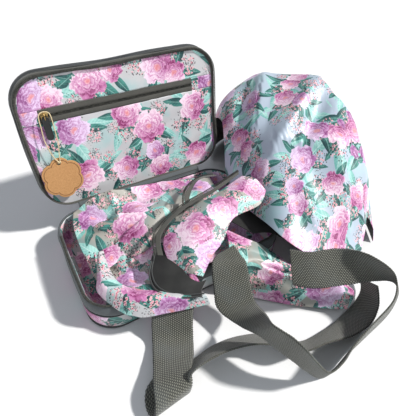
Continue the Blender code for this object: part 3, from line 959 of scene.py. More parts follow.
LINING_INSET = 1.8
ZIP_LEFT, ZIP_RIGHT, ZIP_Y = -98.0, 87.0, 115.0
BAND_HALF = 7.5
LINING_Z = -4.5
# Blooms that stand out on the lid's lining: across and up from the hinge, with their radius
UPPER_BLOOMS = [(-101, 136, 17), (-82, 131, 14), (-38, 142, 18), (-12, 150, 13), (44, 143, 18),
                (64, 133, 14)]
POCKET_BLOOMS = [(-66, 92, 17), (0, 98, 17), (22, 76, 19), (84, 88, 17), (-14, 30, 15), (86, 22, 16)]


def swell(x, y, centre_y, amount):
    """A crown that is highest in the middle of the case's outline."""
    across = np.clip(1 - (x / HALF_W) ** 2, 0, 1)
    along = np.clip(1 - ((y - centre_y) / (CASE_D / 2)) ** 2, 0, 1)
    return amount * np.sqrt(across * along)


def make_lid_shell():
    def back(x, y):
        uneven = 0.7 * ripple(x, y, 60, 3) * swell(x, y, LID_CENTRE_Y, 1.0)
        return -23.6 - swell(x, y, LID_CENTRE_Y, 3.2) - uneven

    cloth_piece("lid_outer_panel", full_plate(LID_CENTRE_Y, 1, back), 1.9, FLORAL, "lid", seed=11,
                replaces=["lid_panel"], matrix=LID_FRAME, thickness=1.0)
    ring_piece("lid_gusset_band", [(0.8, -24.4), (-0.6, -22), (-1.7, -17.5), (-0.9, -13), (0.2, -10.6)],
               LID_CENTRE_Y, SLATE_CLOTH, "lid", 1.0, ["lid_gusset"], LID_FRAME, lid_waves)
    tape = [(0.1, -11.0), (-0.5, -8), (-0.3, -5.4), (0.5, -3.6), (1.5, -3.3), (2.6, -3.8), (3.6, -4.9)]
    ring_piece("lid_zip_tape_band", tape, LID_CENTRE_Y, TAPE, "lid", 0.6, ["lid_zip_tape"],
               LID_FRAME, lid_waves)
    for name, inset, z, radius in (("lid_back_piping", 0.0, -24.3, 1.5),
                                   ("lid_rim_piping", -0.6, -11.0, 0.9)):
        make_piping(name, inset, z, radius, LID_CENTRE_Y, lid_waves, "lid", LID_FRAME)
    rim = rim_path(LID_CENTRE_Y, 34.0, -1.5, lid_waves)
    make_teeth("lid_zip_teeth", rim, 1.15, "lid", ["lid_zip_coil"], LID_FRAME)
    seam = at_height(case_outline(3.0, LID_CENTRE_Y), -3.95)
    add_piece("lid_rim_stitches", stitches_mesh("lid_rim_stitches", seam), THREAD, "lid",
              matrix=LID_FRAME)


def lid_waves(s, t):
    """The soft rim isn't quite true: it bellies out a little on its free sides."""
    slow = 0.9 * np.sin(s * math.tau * 3 + 0.6) * np.ones((len(t), 1))
    return slow + 0.5 * np.sin(s * math.tau * 7 + t[:, None] * 2)


def base_waves(s, t):
    slow = 0.6 * np.sin(s * math.tau * 4 + 1.9) * np.ones((len(t), 1))
    return slow + 0.4 * np.sin(s * math.tau * 9 + t[:, None] * 2)


def make_piping(name, inset, z, radius, centre_y, waves, body, matrix=None):
    """A covered cord all round a shell, drawn in beside the hinge."""
    loop = shell_outline(inset, HINGE_INSET + radius, centre_y)
    loop = loop + wave_shift(case_outline(inset, centre_y), centre_y, waves, np.array([1.0]))[0]
    path = at_height(np.concatenate([loop, loop[:1]]), z)
    add_piece(name, tube_mesh(name, path, radius), BINDING, body, matrix=matrix)


def make_teeth(name, path, radius, body, replaces, matrix=None):
    """A zip's coil, wound along a path."""
    coil = tube_mesh(name, coil_path(path, radius, 1.5), 0.42, 5)
    add_piece(name, coil, COIL, body, replaces, matrix)


def rim_path(centre_y, stop_y, z, waves, side=1):
    """The rim's line round its three zipped sides, from stop_y on the right to stop_y on the left."""
    loop = case_outline(1.0, centre_y)
    loop = loop + wave_shift(loop, centre_y, waves, np.array([1.0]))[0]
    far = (loop[:, 1] - stop_y) * side > 0
    first = int(np.argmax(far & ~np.roll(far, 1)))
    loop = np.roll(loop, -first, 0)
    return at_height(loop[:int(far.sum())], z)


def lining_height(x, y):
    edge = np.clip((HALF_W - np.abs(x)) / 14, 0, 1)
    hinge = np.clip(y / 16, 0, 1)
    zone = edge * hinge
    folds = 0.9 * ripple(x, y, 46, 21) + 0.5 * ripple(x, y, 22, 5)
    corner = np.exp(-((x - 92) ** 2 / 900 + (y - 28) ** 2 / 900))
    deep = 2.3 * np.sin((x * 0.8 - y * 0.55) / 5.2 + 0.7 * ripple(x, y, 40, 8)) * corner
    return LINING_Z - 0.7 + zone * (0.8 + folds * 0.7 + deep * 0.7)


def make_lid_lining():
    half = HALF_W - LINING_INSET
    low_edge, high_edge = (outline_edge(LID_CENTRE_Y, LINING_INSET, side) for side in (-1, 1))
    upper = plate_grid(lambda x: ZIP_Y + BAND_HALF, high_edge, half, lining_height)
    pocket = plate_grid(low_edge, lambda x: ZIP_Y - BAND_HALF, half, lining_height)
    for name, grid, seed, blooms, node in (
            ("lining_above_zip", upper, 5, UPPER_BLOOMS, "lid_lining_upper"),
            ("pocket_front", pocket, 2, POCKET_BLOOMS, "lid_pocket_panel")):
        cloth_piece(name, grid, 1.6, FLORAL, "lid", seed=seed, blooms=shifted(grid, blooms),
                    replaces=[node], matrix=LID_FRAME)
    backing = full_plate(LID_CENTRE_Y, LINING_INSET, lambda x, y: -7.6 - swell(x, y, LID_CENTRE_Y, 0.4))
    cloth_piece("pocket_back_lining", backing, 4.0, DARK_LINING, "lid", replaces=["lid_lining"],
                matrix=LID_FRAME)
    for name, x0, x1, seed in (("pocket_end_left", -half, ZIP_LEFT, 8),
                               ("pocket_end_right", ZIP_RIGHT, half, 9)):
        x, y = np.meshgrid(np.linspace(x0, x1, 12), np.linspace(ZIP_Y - BAND_HALF, ZIP_Y + BAND_HALF, 10))
        grid = np.stack([x, y, lining_height(x, y) + 0.25], 2)
        cloth_piece(name + "_patch", grid, 1.2, FLORAL, "lid", seed=seed, replaces=[name],
                    matrix=LID_FRAME)


def shifted(grid, blooms):
    """Blooms given in the lid's plane, as places in a sheet's own flat measure."""
    places = cloth_lengths(grid)
    flat = grid[:, :, :2].reshape(-1, 2)
    moved = []
    for x, y, radius in blooms:
        k = int(np.argmin(np.hypot(flat[:, 0] - x, flat[:, 1] - y)))
        u, v = places.reshape(-1, 2)[k]
        moved.append((u, v, radius))
    return moved


def make_pocket_zip():
    x = np.linspace(ZIP_LEFT, ZIP_RIGHT, 90)
    for name, side in (("upper", 1), ("lower", -1)):
        t = np.linspace(0, 1, 8)[:, None]
        y = ZIP_Y + side * (1.2 + t * 6.6) + 0 * x[None]
        z = lining_height(x[None], y) * 0.35 + (LINING_Z + 0.4) * 0.65 + 0.35 * np.sin(t * math.pi)
        grid = np.stack(np.broadcast_arrays(x[None], y, z), 2)[::side]
        cloth_piece("pocket_tape_" + name, grid, 0.9, TAPE, "lid", replaces=["pocket_zip_tape_" + name],
                    matrix=LID_FRAME, thickness=0.5)
        edge = np.stack([x, ZIP_Y + side * 6.6 + 0 * x, z[-2] + 0.45], 1)
        row = stitches_mesh("pocket_stitches_" + name, edge, 2.6, 1.7, 0.16)
        add_piece("pocket_stitches_" + name, row, THREAD, "lid", matrix=LID_FRAME)
        line = np.stack([x, ZIP_Y + side * 0.75 + 0 * x, LINING_Z + 0.6 + 0 * x], 1)
        chain = tube_mesh("pocket_teeth_" + name, coil_path(line, 0.72, 1.3, 8), 0.30, 5)
        add_piece("pocket_teeth_" + name, chain, COIL, "lid", ["pocket_zip_coil"] if side > 0 else (),
                  LID_FRAME)


def slab(name, outline, low, high, bevel, matrix, material, body, replaces=(), hole=None):
    """A flat plate with rounded edges, from an outline in millimetres."""
    curve = bpy.data.curves.new(name, "CURVE")
    curve.dimensions = "2D"
    curve.fill_mode = "BOTH"
    curve.extrude = (high - low) / 2 * MM - bevel * MM
    curve.bevel_depth = bevel * MM
    curve.bevel_resolution = 3
    curve.offset = -bevel * MM
    for loop in filter(None, (outline, hole)):
        line = curve.splines.new("POLY")
        line.points.add(len(loop) - 1)
        for point, place in zip(line.points, loop):
            point.co = (place[0] * MM, place[1] * MM, 0, 1)
        line.use_cyclic_u = True
    holder = bpy.data.objects.new(name + "_curve", curve)
    bpy.context.scene.collection.objects.link(holder)
    mesh = bpy.data.meshes.new_from_object(holder.evaluated_get(bpy.context.evaluated_depsgraph_get()))
    bpy.data.objects.remove(holder)
    mesh.name = name
    mesh.transform(matrix @ Matrix.Translation((0, 0, (low + high) / 2 * MM)))
    mesh.shade_smooth()
    mesh.set_sharp_from_angle(angle=math.radians(40))
    mesh.materials.clear()
    return add_piece(name, mesh, material, body, replaces)


def pill(half_w, half_l, steps=10):
    """The outline of a bar with fully rounded ends, along Y."""
    points = []
    for end in (1, -1):
        for k in range(steps + 1):
            angle = math.pi * (k / steps + (end < 0))
            points.append((half_w * math.cos(angle), end * (half_l - half_w) + half_w * math.sin(angle)))
    return points


def shield(half_w, half_l):
    """A slider's plate: square-shouldered at the top and narrower at the tail, along Y."""
    right = [(0.55, -1.0), (0.80, -0.7), (0.86, 0.1), (1.0, 0.55), (0.95, 0.85), (0.6, 1.0)]
    points = [(x * half_w, y * half_l) for x, y in right]
    return points + [(-x, y) for x, y in reversed(points)]


def make_slider(name, node, matrix, half_w, half_l, thick):
    """A zip slider: one shaped slab for its body, and an arched bar that the pull hangs from."""
    slab(name, shield(half_w, half_l), -thick, 0.0, 0.25, matrix, BRASS, node, [node])
    arch = [(0, half_l * reach, z) for reach, z in
            ((0.72, -0.2), (0.68, 1.1), (0.3, 2.0), (-0.3, 1.9), (-0.6, 1.0), (-0.66, -0.2))]
    add_piece(name + "_bar", tube_mesh(name + "_bar", spline(arch, 22), 0.55, 8, 1.3), BRASS, node, (),
              matrix)


def make_pull(name, node, matrix, half_w=3.7, half_l=10.0):
    """A moulded pull with a raised rim round a sunk face."""
    slab(name, pill(half_w, half_l), -0.8, 0.5, 0.35, matrix, PULL, node, [node])
    slab(name + "_rim", pill(half_w, half_l), 0.0, 0.8, 0.3, matrix, PULL, node, (),
         hole=pill(half_w - 1.1, half_l - 1.1))


def make_pocket_slider():
    face = LID_FRAME @ Matrix.Translation((-0.0925, 0.1150, -0.0006))
    make_slider("pocket_slider_body", "pocket_slider", face, 4.4, 5.2, 2.2)
    hang = LID_FRAME @ Matrix.Translation((-0.0925, 0.1025, 0.0005))
    make_pull("pocket_pull_tab", "pocket_pull", hang, 3.75, 13.4)


TAG_PIVOT = (-92.5, 117.0)
TAG_CENTRE = (-92.5, 43.0)
TAG_HOLE_Y, TAG_HOLE_R = 61.0, 1.7


def tag_outline(shrink, steps=144):
    points = []
    for step in range(steps):
        angle = math.tau * step / steps
        lobe = abs(math.cos(3 * (angle - math.pi / 2)))
        radius = 21.4 + 3.6 * lobe ** 0.7 - shrink
        points.append((TAG_CENTRE[0] + 0.94 * radius * math.cos(angle),
                       TAG_CENTRE[1] + radius * math.sin(angle)))
    return points


def make_tag():
    hole = [(TAG_CENTRE[0] + TAG_HOLE_R * math.cos(a), TAG_HOLE_Y + TAG_HOLE_R * math.sin(a))
            for a in np.arange(16) * math.tau / 16]
    tag = slab("cork_disc", tag_outline(0), 0.7, 2.7, 0.3, LID_FRAME, CORK_SHEET, "tag", ["cork_tag"],
               hole=hole)
    line = [(x, y, 2.66) for x, y in tag_outline(2.6, 180)]
    path = np.array(line + line[:1])
    engraved = tube_mesh("tag_engraved_line", path, 0.32, 6)
    border = add_piece("tag_engraved_line", engraved, ENGRAVED, "tag", matrix=LID_FRAME)
    low = TAG_HOLE_Y - TAG_PIVOT[1] + 3.2
    loop = [(1.6, low, 4.2), (3.4, low + 10, 3.4), (5.6, -32, 2.8), (6.0, -18, 2.8), (6.2, -8, 2.8),
            (6.0, -1.0, 2.4), (4.6, 2.8, 1.6), (0.0, 4.2, 1.0), (-4.6, 2.8, 1.6), (-6.4, -2.0, 2.4),
            (-6.8, -12, 2.8), (-7.4, -24, 2.8), (-6.0, -36, 2.8), (-3.2, low + 6, 3.4), (0.0, low, 4.2)]
    route = spline(np.array(loop) + np.array([TAG_PIVOT[0], TAG_PIVOT[1], 0.0]), 260)
    world = [LID_FRAME @ Vector(p * MM) for p in route]
    string = add_piece("tag_string", tube_mesh("tag_string", route, 0.55, 8), STRING, "tag", ["tag_cord"],
                       LID_FRAME)
    knot_path = knot_round((TAG_PIVOT[0] + 0.9, TAG_HOLE_Y + 2.6, 3.7))
    knot = add_piece("tag_knot", tube_mesh("tag_knot", knot_path, 0.62, 8), STRING, "tag", (),
                     LID_FRAME)


def knot_round(centre):
    """A small overhand knot: two turns that wind over each other."""
    t = np.linspace(0, math.tau * 2, 60)
    x = centre[0] + 1.25 * np.sin(t) * (1 + 0.2 * np.cos(t / 2))
    y = centre[1] + 1.1 * np.cos(t * 1.5)
    z = centre[2] + 0.55 * np.sin(t * 1.5 + 0.6)
    return np.stack([x, y, z], 1)


# ---------------------------------------------------------------- the case's base

def make_base():
    low_edge, high_edge = (outline_edge(BASE_Y, 1, side) for side in (-1, 1))
    bottom = plate_grid(high_edge, low_edge, HALF_W - 1, lambda x, y: 0.7 + 0 * x)
    cloth_piece("base_bottom", bottom, 2.2, FLORAL, seed=31, replaces=["base_panel"],
                thickness=1.2)
    ring_piece("base_gusset_band", [(1.4, 1.0), (0.2, 4), (-1.0, 12), (-0.8, 18), (0.2, 23.0)], BASE_Y,
               FLORAL, "base_and_tote", 0.9, ["base_gusset"], waves=base_waves, seed=17)
    tape = [(-0.4, 22.4), (-1.5, 26), (-1.3, 31), (0.2, 35.8), (1.6, 37.4), (3.0, 36.9)]
    ring_piece("base_zip_tape_band", tape, BASE_Y, SLATE_TAPE, "base_and_tote", 0.7, ["base_zip_tape"],
               waves=base_waves)
    for name, inset, z, radius in (("base_floor_piping", 0.4, 1.7, 1.4),
                                   ("base_rim_piping", -0.7, 22.6, 1.1)):
        make_piping(name, inset, z, radius, BASE_Y, base_waves, "base_and_tote")
    rim = rim_path(BASE_Y, 40.0, 38.6, base_waves, side=-1)
    make_teeth("base_zip_teeth", rim, 1.15, "base_and_tote", ["base_zip_coil"])
    ring_piece("base_lining_wall", [(3.2, 35.5), (3.6, 24), (3.4, 12), (4.4, 5.0), (9.0, 3.0)], BASE_Y,
               FLORAL, "base_and_tote", 0.5, ["base_lining"], seed=12)
    floor = full_plate(BASE_Y, 8, lambda x, y: 2.9 + 0.3 * ripple(x, y, 40, 4))
    cloth_piece("base_lining_floor", floor, 2.2, FLORAL, seed=14)


def lid_point(y, z):
    world = LID_FRAME @ Vector((0, y * MM, z * MM))
    return (world.y / MM, world.z / MM)


def make_hinge():
    section = [(75.0, 27.0), (75.3, 33.0), (76.2, 37.5), (77.8, 41.4)]
    section += [lid_point(2.2, -0.2), lid_point(3.4, -2.6), lid_point(4.6, -5.6)]
    section = spline(section, 18)
    x = np.linspace(-84, 84, 60)
    grid = np.stack(np.broadcast_arrays(x[None], section[:, :1], section[:, 1:]), 2)
    strip = cloth_piece("hinge_strip", grid, 2.0, SLATE_TAPE, body=None, thickness=0.7)
    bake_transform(strip)
    mesh = tube_mesh("hinge_cord_piping", np.stack([x, 0 * x + HINGE_Y, 0 * x + HINGE_Z], 1), 1.4)
    add_piece("hinge_cord_piping", mesh, BINDING, "base_and_tote", ["hinge_piping"])


def make_case_slider():
    quarter = math.radians(90)
    face = Matrix.Translation((0.1180, 0.0450, 0.0428))
    make_slider("case_slider_body", "case_slider", face, 4.4, 5.5, 2.4)
    turned = Matrix.Rotation(quarter, 4, "Y") @ Matrix.Rotation(quarter, 4, "Z")
    make_pull("case_pull_tab", "case_pull", Matrix.Translation((0.1212, 0.0450, 0.0290)) @ turned)


# ---------------------------------------------------------------- the tote

# Each net is a list of lines of points in millimetres; the cloth passes smoothly through them.
BACK_PANEL = [
    [(115, 48, 51), (102, 2, 50), (95, -36, 56), (93, -77, 64), (95, -109, 64), (110, -127, 52),
     (132, -140, 36), (158, -148, 20), (192, -146, 6)],
    [(129, 80, 84), (135, 66, 97), (141, 44, 106), (148, 14, 112), (154, -22, 110), (164, -58, 96),
     (178, -88, 76), (196, -112, 48), (212, -128, 20)],
    [(137, 102, 97), (153, 114, 113), (179, 118, 128), (207, 112, 143), (226, 70, 147), (250, 40, 152),
     (240, -28, 128), (240, -78, 88), (232, -112, 38)],
    [(140, 128, 80), (163, 148, 92), (198, 160, 100), (234, 150, 108), (258, 100, 120), (272, 46, 122),
     (272, -16, 104), (260, -70, 62), (239, -120, 20)],
    [(146, 140, 3), (168, 168, 3), (206, 184, 3), (246, 178, 3), (274, 130, 3), (290, 68, 3),
     (285, -12, 2), (266, -80, 2), (240, -126, 2)],
]

# Its folds, as for the crumpled bottom below
HEAP_FOLDS = [
    ((252, 44, 150), (140, -16, 104), 15, 14, 36),
    ((256, 24, 142), (178, -22, 114), -9, 15, 15),
    ((150, -8, 108), (224, -46, 116), 13, 44, 15),
    ((216, -44, 114), (184, -112, 42), 14, 15, 38),
    ((212, 114, 143), (150, 36, 106), 12, 20, 14),
    ((182, 112, 128), (146, 66, 108), -10, 13, 15),
    ((248, 100, 136), (262, -16, 118), 12, 16, 30),
    ((128, 66, 84), (118, -16, 88), -8, 12, 12),
    ((238, -46, 112), (230, -112, 30), -11, 16, 16),
    ((150, -60, 90), (138, -110, 58), 9, 13, 18),
]

FRONT_PANEL = [
    [(22, -103, 3), (44, -118, 2), (64, -136, 2), (84, -154, 3), (108, -174, 7), (126, -186, 9)],
    [(26, -98, 46), (57, -106, 36), (83, -121, 29), (108, -144, 24), (126, -164, 21), (137, -181, 15)],
    [(40, -76, 54), (60, -90, 48), (82, -108, 38), (106, -130, 26), (130, -152, 20), (146, -172, 14)],
    [(50, -54, 54), (64, -72, 49), (84, -92, 40), (106, -116, 20), (132, -142, 13), (149, -164, 10)],
]

FRONT_FOLDS = [
    ((56, -100, 44), (142, -172, 18), 12, 9, 18),
    ((84, -92, 44), (138, -146, 20), -9, 9, 9),
    ((40, -96, 48), (92, -146, 20), 6, 8, 10),
]

# The dark inside of the tote, which crosses the base's right side and falls to the floor beyond it
LINING = [
    [(62, -26, 45), (90, -30, 45), (121, -40, 44), (152, -52, 22), (196, -40, 14)],
    [(70, -50, 46), (96, -58, 45), (122, -66, 40), (152, -86, 12), (194, -88, 8)],
    [(78, -68, 45), (99, -80, 45), (124, -98, 24), (148, -118, 8), (178, -132, 4)],
]

# The crumpled bottom of the tote, still in the base
BOTTOM_PANEL = [
    [(-101, 66, 50), (-66, 67, 66), (-28, 64, 66), (20, 62, 60), (62, 58, 52), (92, 52, 46)],
    [(-108, 44, 44), (-64, 44, 56), (-24, 40, 60), (16, 36, 64), (52, 26, 62), (86, 24, 50)],
    [(-110, 12, 42), (-72, 18, 58), (-26, 4, 74), (18, 2, 76), (46, 4, 72), (84, 2, 50)],
    [(-109, -12, 38), (-76, -10, 46), (-40, -22, 62), (-6, -14, 66), (14, -12, 62), (46, -6, 54)],
    [(-107, -34, 33), (-78, -26, 38), (-52, -34, 46), (-26, -30, 54), (0, -26, 52), (24, -20, 48)],
]

# Its folds: start, end, height, and the reach of the side to the left and to the right of that line
CRUMPLE_FOLDS = [
    ((-78, -4, 44), (26, 2, 78), 13, 26, 7),
    ((-50, 66, 66), (-58, 19, 62), -8, 9, 11),
    ((-96, 60, 52), (-60, 24, 58), 8, 16, 9),
    ((-34, 62, 66), (-10, 26, 68), 8, 9, 16),
    ((-100, 34, 46), (-66, 6, 50), 8, 9, 15),
    ((20, 58, 62), (30, 26, 68), -7, 9, 9),
]

# The tote's body between its crumpled bottom and its front hem, sunk in the tray
BODY_IN_TRAY = [
    [(-107, 14, 32), (-86, 4, 38), (-64, -12, 46), (-40, -20, 52), (-18, -20, 54), (-8, -16, 54)],
    [(-107, -20, 30), (-88, -22, 34), (-66, -34, 40), (-42, -38, 43), (-20, -38, 42), (-9, -36, 40)],
    [(-104, -42, 29), (-88, -46, 32), (-64, -56, 36), (-42, -60, 37), (-22, -58, 36), (-10, -56, 34)],
    [(-97, -54, 41), (-85, -66, 43), (-60, -79, 44), (-40, -84, 44), (-22, -84, 44), (-11, -82, 44)],
    [(-88, -60, 45), (-76, -74, 45), (-54, -92, 44), (-34, -102, 43), (-20, -106, 42), (-11, -104, 42)],
]
TRAY_FOLDS = [
    ((-62, -20, 46), (-70, -62, 40), 10, 12, 8),
    ((-30, -24, 52), (-36, -70, 42), -8, 10, 10),
    ((-104, -4, 34), (-84, -34, 36), 9, 10, 8),
]

# The tote's front hem, lying over the base's front rim
FRONT_FOLD = [
    [(-86, -14, 50), (-91, -15, 51), (-95, -18, 44)],
    [(-88, -34, 47), (-97, -39, 52), (-103, -42, 43)],
    [(-86, -58, 46), (-98, -66, 52), (-107, -62, 43)],
    [(-73, -76, 46), (-80, -89, 52), (-87, -97, 36)],
    [(-45, -94, 46), (-50, -105, 50), (-54, -110, 35)],
    [(-16, -110, 45), (-15, -117, 47), (-13, -123, 38)],
]

SIDE_PANEL = [
    [(92, -16, 90), (99, -32, 95), (103, -50, 88)],
    [(46, -28, 88), (68, -42, 94), (86, -62, 82)],
    [(7, -30, 80), (30, -46, 90), (50, -64, 79)],
    [(-24, -43, 71), (4, -64, 84), (26, -82, 72)],
    [(-32, -62, 60), (-12, -78, 72), (8, -90, 66)],
    [(-26, -86, 54), (-18, -96, 58), (-10, -102, 56)],
]

# The lined corner of the pouch under the flap: its bound edge, then lines up under the flap
POUCH_CORNER = [
    [(-36, -44, 57), (-30, -50, 60), (-22, -54, 62)],
    [(-46, -55, 51), (-36, -60, 56), (-24, -64, 60)],
    [(-54, -68, 47), (-40, -74, 54), (-24, -80, 57)],
    [(-55, -86, 46), (-40, -90, 51), (-22, -94, 55)],
    [(-42, -103, 46), (-32, -102, 50), (-16, -102, 53)],
    [(-20, -116, 49), (-16, -110, 51), (-8, -104, 53)],
]

RIGHT_TAPE = [
    [(89, -9, 90), (87, -13, 90)],
    [(44, -21, 88), (45, -26, 88)],
    [(2, -24, 80), (5, -29, 81)],
    [(-31, -38, 71), (-27, -42, 72)],
    [(-40, -58, 62), (-35, -61, 62)],
]

LEFT_TAPE = [
    [(70, 14, 77), (70, 8, 79)],
    [(46, 12, 81), (44, 6, 84)],
    [(22, -4, 83), (24, -9, 79)],
    [(12, -20, 76), (18, -22, 73)],
    [(9, -30, 62), (15, -31, 61)],
    [(6, -40, 47), (12, -40, 47)],
    [(6, -44, 34), (12, -44, 34)],
]

# Handle stations: the two edges of the webbing, in millimetres
HANDLE_FRONT = [
    [(-65, -96, 33), (-28, -113, 33)],
    [(-69, -102, 19), (-32, -119, 20)],
    [(-74, -113, 7), (-37, -129, 7)],
    [(-84, -138, 13), (-47, -148, 14)],
    [(-93, -160, 21), (-57, -163, 23)],
    [(-98, -174, 19), (-62, -173, 22)],
    [(-102, -178, 9), (-66, -175, 12)],
    [(-104, -167, 3), (-70, -172, 4)],
    [(-97, -150, 2), (-68, -172, 5)],
    [(-78, -143, 2), (-65, -174, 16)],
    [(-50, -147, 2), (-60, -169, 31)],
    [(-23, -144, 2), (-35, -166, 30)],
    [(5, -148, 2), (-10, -169, 29)],
    [(34, -161, 2), (15, -179, 28)],
    [(55, -183, 2), (36, -200, 28)],
    [(89, -186, 2), (70, -205, 24)],
    [(113, -183, 2), (99, -210, 19)],
    [(138, -178, 3), (128, -208, 15)],
    [(158, -170, 5), (146, -199, 22)],
    [(169, -157, 7), (158, -184, 30)],
]

HANDLE_REAR = [
    [(16, -84, 58), (36, -84, 62)],
    [(8, -88, 57), (36, -99, 60)],
    [(3, -95, 55), (36, -108, 58)],
    [(-1, -106, 40), (34, -120, 44)],
    [(-4, -121, 22), (30, -137, 32)],
    [(4, -148, 24), (22, -162, 50)],
    [(10, -170, 35), (12, -182, 69)],
    [(16, -188, 35), (18, -199, 70)],
    [(23, -203, 32), (22, -212, 68)],
    [(33, -214, 21), (28, -221, 58)],
    [(48, -222, 5), (40, -230, 41)],
    [(66, -222, 3), (58, -229, 39)],
    [(90, -217, 3), (80, -222, 39)],
    [(118, -213, 3), (110, -216, 40)],
    [(156, -208, 12), (142, -210, 47)],
    [(172, -200, 28), (152, -200, 60)],
    [(165, -192, 42), (146, -190, 74)],
    [(143, -184, 48), (132, -169, 82)],
    [(110, -172, 48), (118, -148, 76)],
    [(84, -160, 46), (92, -137, 74)],
    [(68, -146, 46), (76, -124, 74)],
]


def panel(name, node, net, seed, growth, cap, step=1.7, size=(56, 64), material=None, inner=None,
          slot="floral_fabric", blooms=(), flip=False, folds=()):
    """One panel of the tote: a smooth sheet through its net, with its folds pressed in and then creased."""
    net = np.array(net, float)[:, ::-1] if flip else net
    grid = crease(press_folds(resample(net, 100, 100), folds), growth, cap, seed, *size)
    # Without a material of its own, a panel wears the print with painted shade
    cloth_piece(name, grid, step, material or FLORAL_SHADED, seed=seed if slot == "floral_fabric" else None,
                blooms=blooms, replaces=[node] if node else (), inner=inner,
                unroll=flatten)


def make_tote():
    # The heap wears the print with painted bluish shade; the panels below without a material of their own
    # wear it with painted shade
    panel("tote_heap", "tote_back_panel", BACK_PANEL, 41, 0.09, 8.0, 1.9, (84, 84), FLORAL_BLUE_SHADE,
          inner=DARK_LINING, folds=HEAP_FOLDS)
    panel("tote_front_hem", "tote_front_panel", FRONT_PANEL, 42, 0.07, 5.0, 1.5, inner=DARK_LINING,
          folds=FRONT_FOLDS)
    panel("tote_inside", "tote_lining", LINING, 43, 0.05, 3.0, 2.2, material=DARK_LINING,
          slot="dark_lining")
    panel("tote_bottom_crumple", "tote_bottom_panel", BOTTOM_PANEL, 44, 0.11, 8.0, 1.5, (72, 72),
          folds=CRUMPLE_FOLDS)
    panel("tote_body_in_tray", None, BODY_IN_TRAY, 48, 0.09, 6.0, folds=TRAY_FOLDS)
    panel("tote_flap", "tote_side_panel", SIDE_PANEL, 45, 0.06, 3.5, 1.3, (64, 32), inner=DARK_LINING,
          blooms=[(-20, 22, 17), (8, 6, 19), (-6, -30, 17), (26, 34, 14)], flip=True)
    panel("tote_flap_inside", "tote_flap_lining", POUCH_CORNER, 46, 0.03, 1.5, 1.4, (30, 20), DARK_LINING,
          slot="dark_lining")
    edge = even_path(spline(np.array(POUCH_CORNER, float)[:, 0], 60), 1.0)
    for name, inward in (("pouch_edge_outer", 0.0), ("pouch_edge_inner", 3.4)):
        path = edge + np.array([inward, inward * 0.5, 0.9])
        add_piece(name, tube_mesh(name, path, 0.9), BINDING, "base_and_tote")
    panel("tote_front_roll", "tote_front_fold", FRONT_FOLD, 47, 0.06, 3.0, 1.3, (64, 20), FLORAL)


def make_tote_zip():
    for side, net in (("right", RIGHT_TAPE), ("left", LEFT_TAPE)):
        net = np.array(net, float)
        grid = np.swapaxes(resample(net, 120, 8), 0, 1)[::-1]
        cloth_piece("tote_tape_" + side, grid, 0.8, TAPE, replaces=["tote_zip_tape_" + side],
                    thickness=0.5)
        away = net[:, 0] - net[:, 1]
        away /= np.linalg.norm(away, axis=1, keepdims=True)
        make_teeth("tote_teeth_" + side, spline(net[:, 0] + away * 2.0, 90), 1.1, "base_and_tote",
                   ["tote_zip_coil_" + side])


def make_tote_slider():
    upright = Matrix.Rotation(math.radians(90), 4, "X")
    face = Matrix.Translation((0.0036, -0.0482, 0.0360)) @ upright
    make_slider("tote_slider_body", "tote_slider", face, 4.2, 5.0, 2.0)
    make_pull("tote_pull_tab", "tote_pull", Matrix.Translation((0.0036, -0.0500, 0.0245)) @ upright)


STRAP_W, STRAP_T = 38.0, 1.5
PICK_LENGTH = 2.4


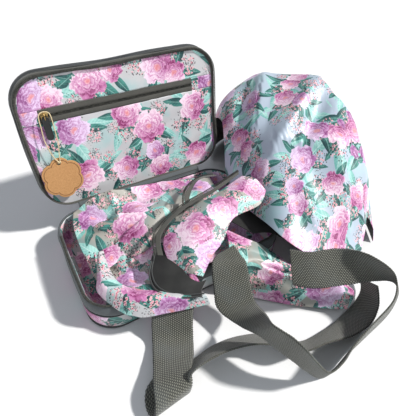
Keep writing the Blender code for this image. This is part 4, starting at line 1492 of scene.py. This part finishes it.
def make_handle(name, node, net):
    """A webbing strap: an even ribbon through its stations, with the picks turning at its edges."""
    along = spline(np.array(net, float), 520)
    middle = along.mean(1)
    run = np.concatenate([[0], np.cumsum(np.linalg.norm(np.diff(middle, axis=0), axis=1))])
    even = np.linspace(0, run[-1], int(run[-1] / 0.85))
    near, far = (np.stack([np.interp(even, run, along[:, edge, k]) for k in range(3)], 1)
                 for edge in (0, 1))
    across = far - near
    t = np.linspace(0, 1, 17)
    grid = near[:, None] + across[:, None] * t[None, :, None]
    across = across / np.linalg.norm(across, axis=1, keepdims=True)
    nick = 0.28 * np.sign(np.sin(even * math.tau / PICK_LENGTH))[:, None]
    grid[:, 0] -= across * nick
    grid[:, -1] += across * nick
    _, length, area = flat_size(grid)
    places = np.stack(np.broadcast_arrays(even[:, None], (t[None] - 0.5) * STRAP_W), 2)
    obj = add_piece(name, grid_mesh(name, grid, places), WEBBING_CLOTH, "base_and_tote", [node])
    thicken(obj, STRAP_T)


make_camera()
make_studio()
FLORAL = floral("floral_print", PALE_GREY, PALE_AQUA)
# The print again on a darker ground: painted shade, for the panels in shadow
FLORAL_SHADED = floral("floral_print_painted_shade", SHADED_WARM_GREY, SHADE_AQUA)
# The print again on a blue-grey ground: painted bluish shade, for the heap
FLORAL_BLUE_SHADE = floral("floral_print_painted_blue_shade", BLUE_SHADE_GREY, BLUE_SHADE_AQUA)
DARK_LINING = plain_cloth("dark_lining_cloth", (0.012, 0.012, 0.011), (0.022, 0.022, 0.020), 0.5)
SLATE_CLOTH = plain_cloth("slate_gusset_cloth", (0.012, 0.014, 0.015), (0.030, 0.034, 0.036), 0.7, 0.5,
                          0.08)
TAPE = ribbed_tape("zip_tape_olive", (0.030, 0.030, 0.025), (0.110, 0.108, 0.090), 1.1)
SLATE_TAPE = ribbed_tape("zip_tape_slate", (0.040, 0.047, 0.050), (0.120, 0.140, 0.148), 1.1)
BINDING = binding_cloth()
COIL = coil_nylon()
THREAD = plain_cloth("sewing_thread", (0.040, 0.041, 0.036), (0.110, 0.110, 0.095), 0.3)
BRASS = aged_brass()
PULL = moulded_black()
CORK_SHEET = cork_sheet()
ENGRAVED = engraved_cork()
STRING = waxed_string()
WEBBING_CLOTH = webbing()

make_tag()
make_lid_shell()
make_lid_lining()
make_pocket_zip()
make_pocket_slider()
make_base()
make_hinge()
make_case_slider()
make_tote()
make_tote_zip()
make_tote_slider()
make_handle("strap_front", "handle_front", HANDLE_FRONT)
make_handle("strap_rear", "handle_rear", HANDLE_REAR)
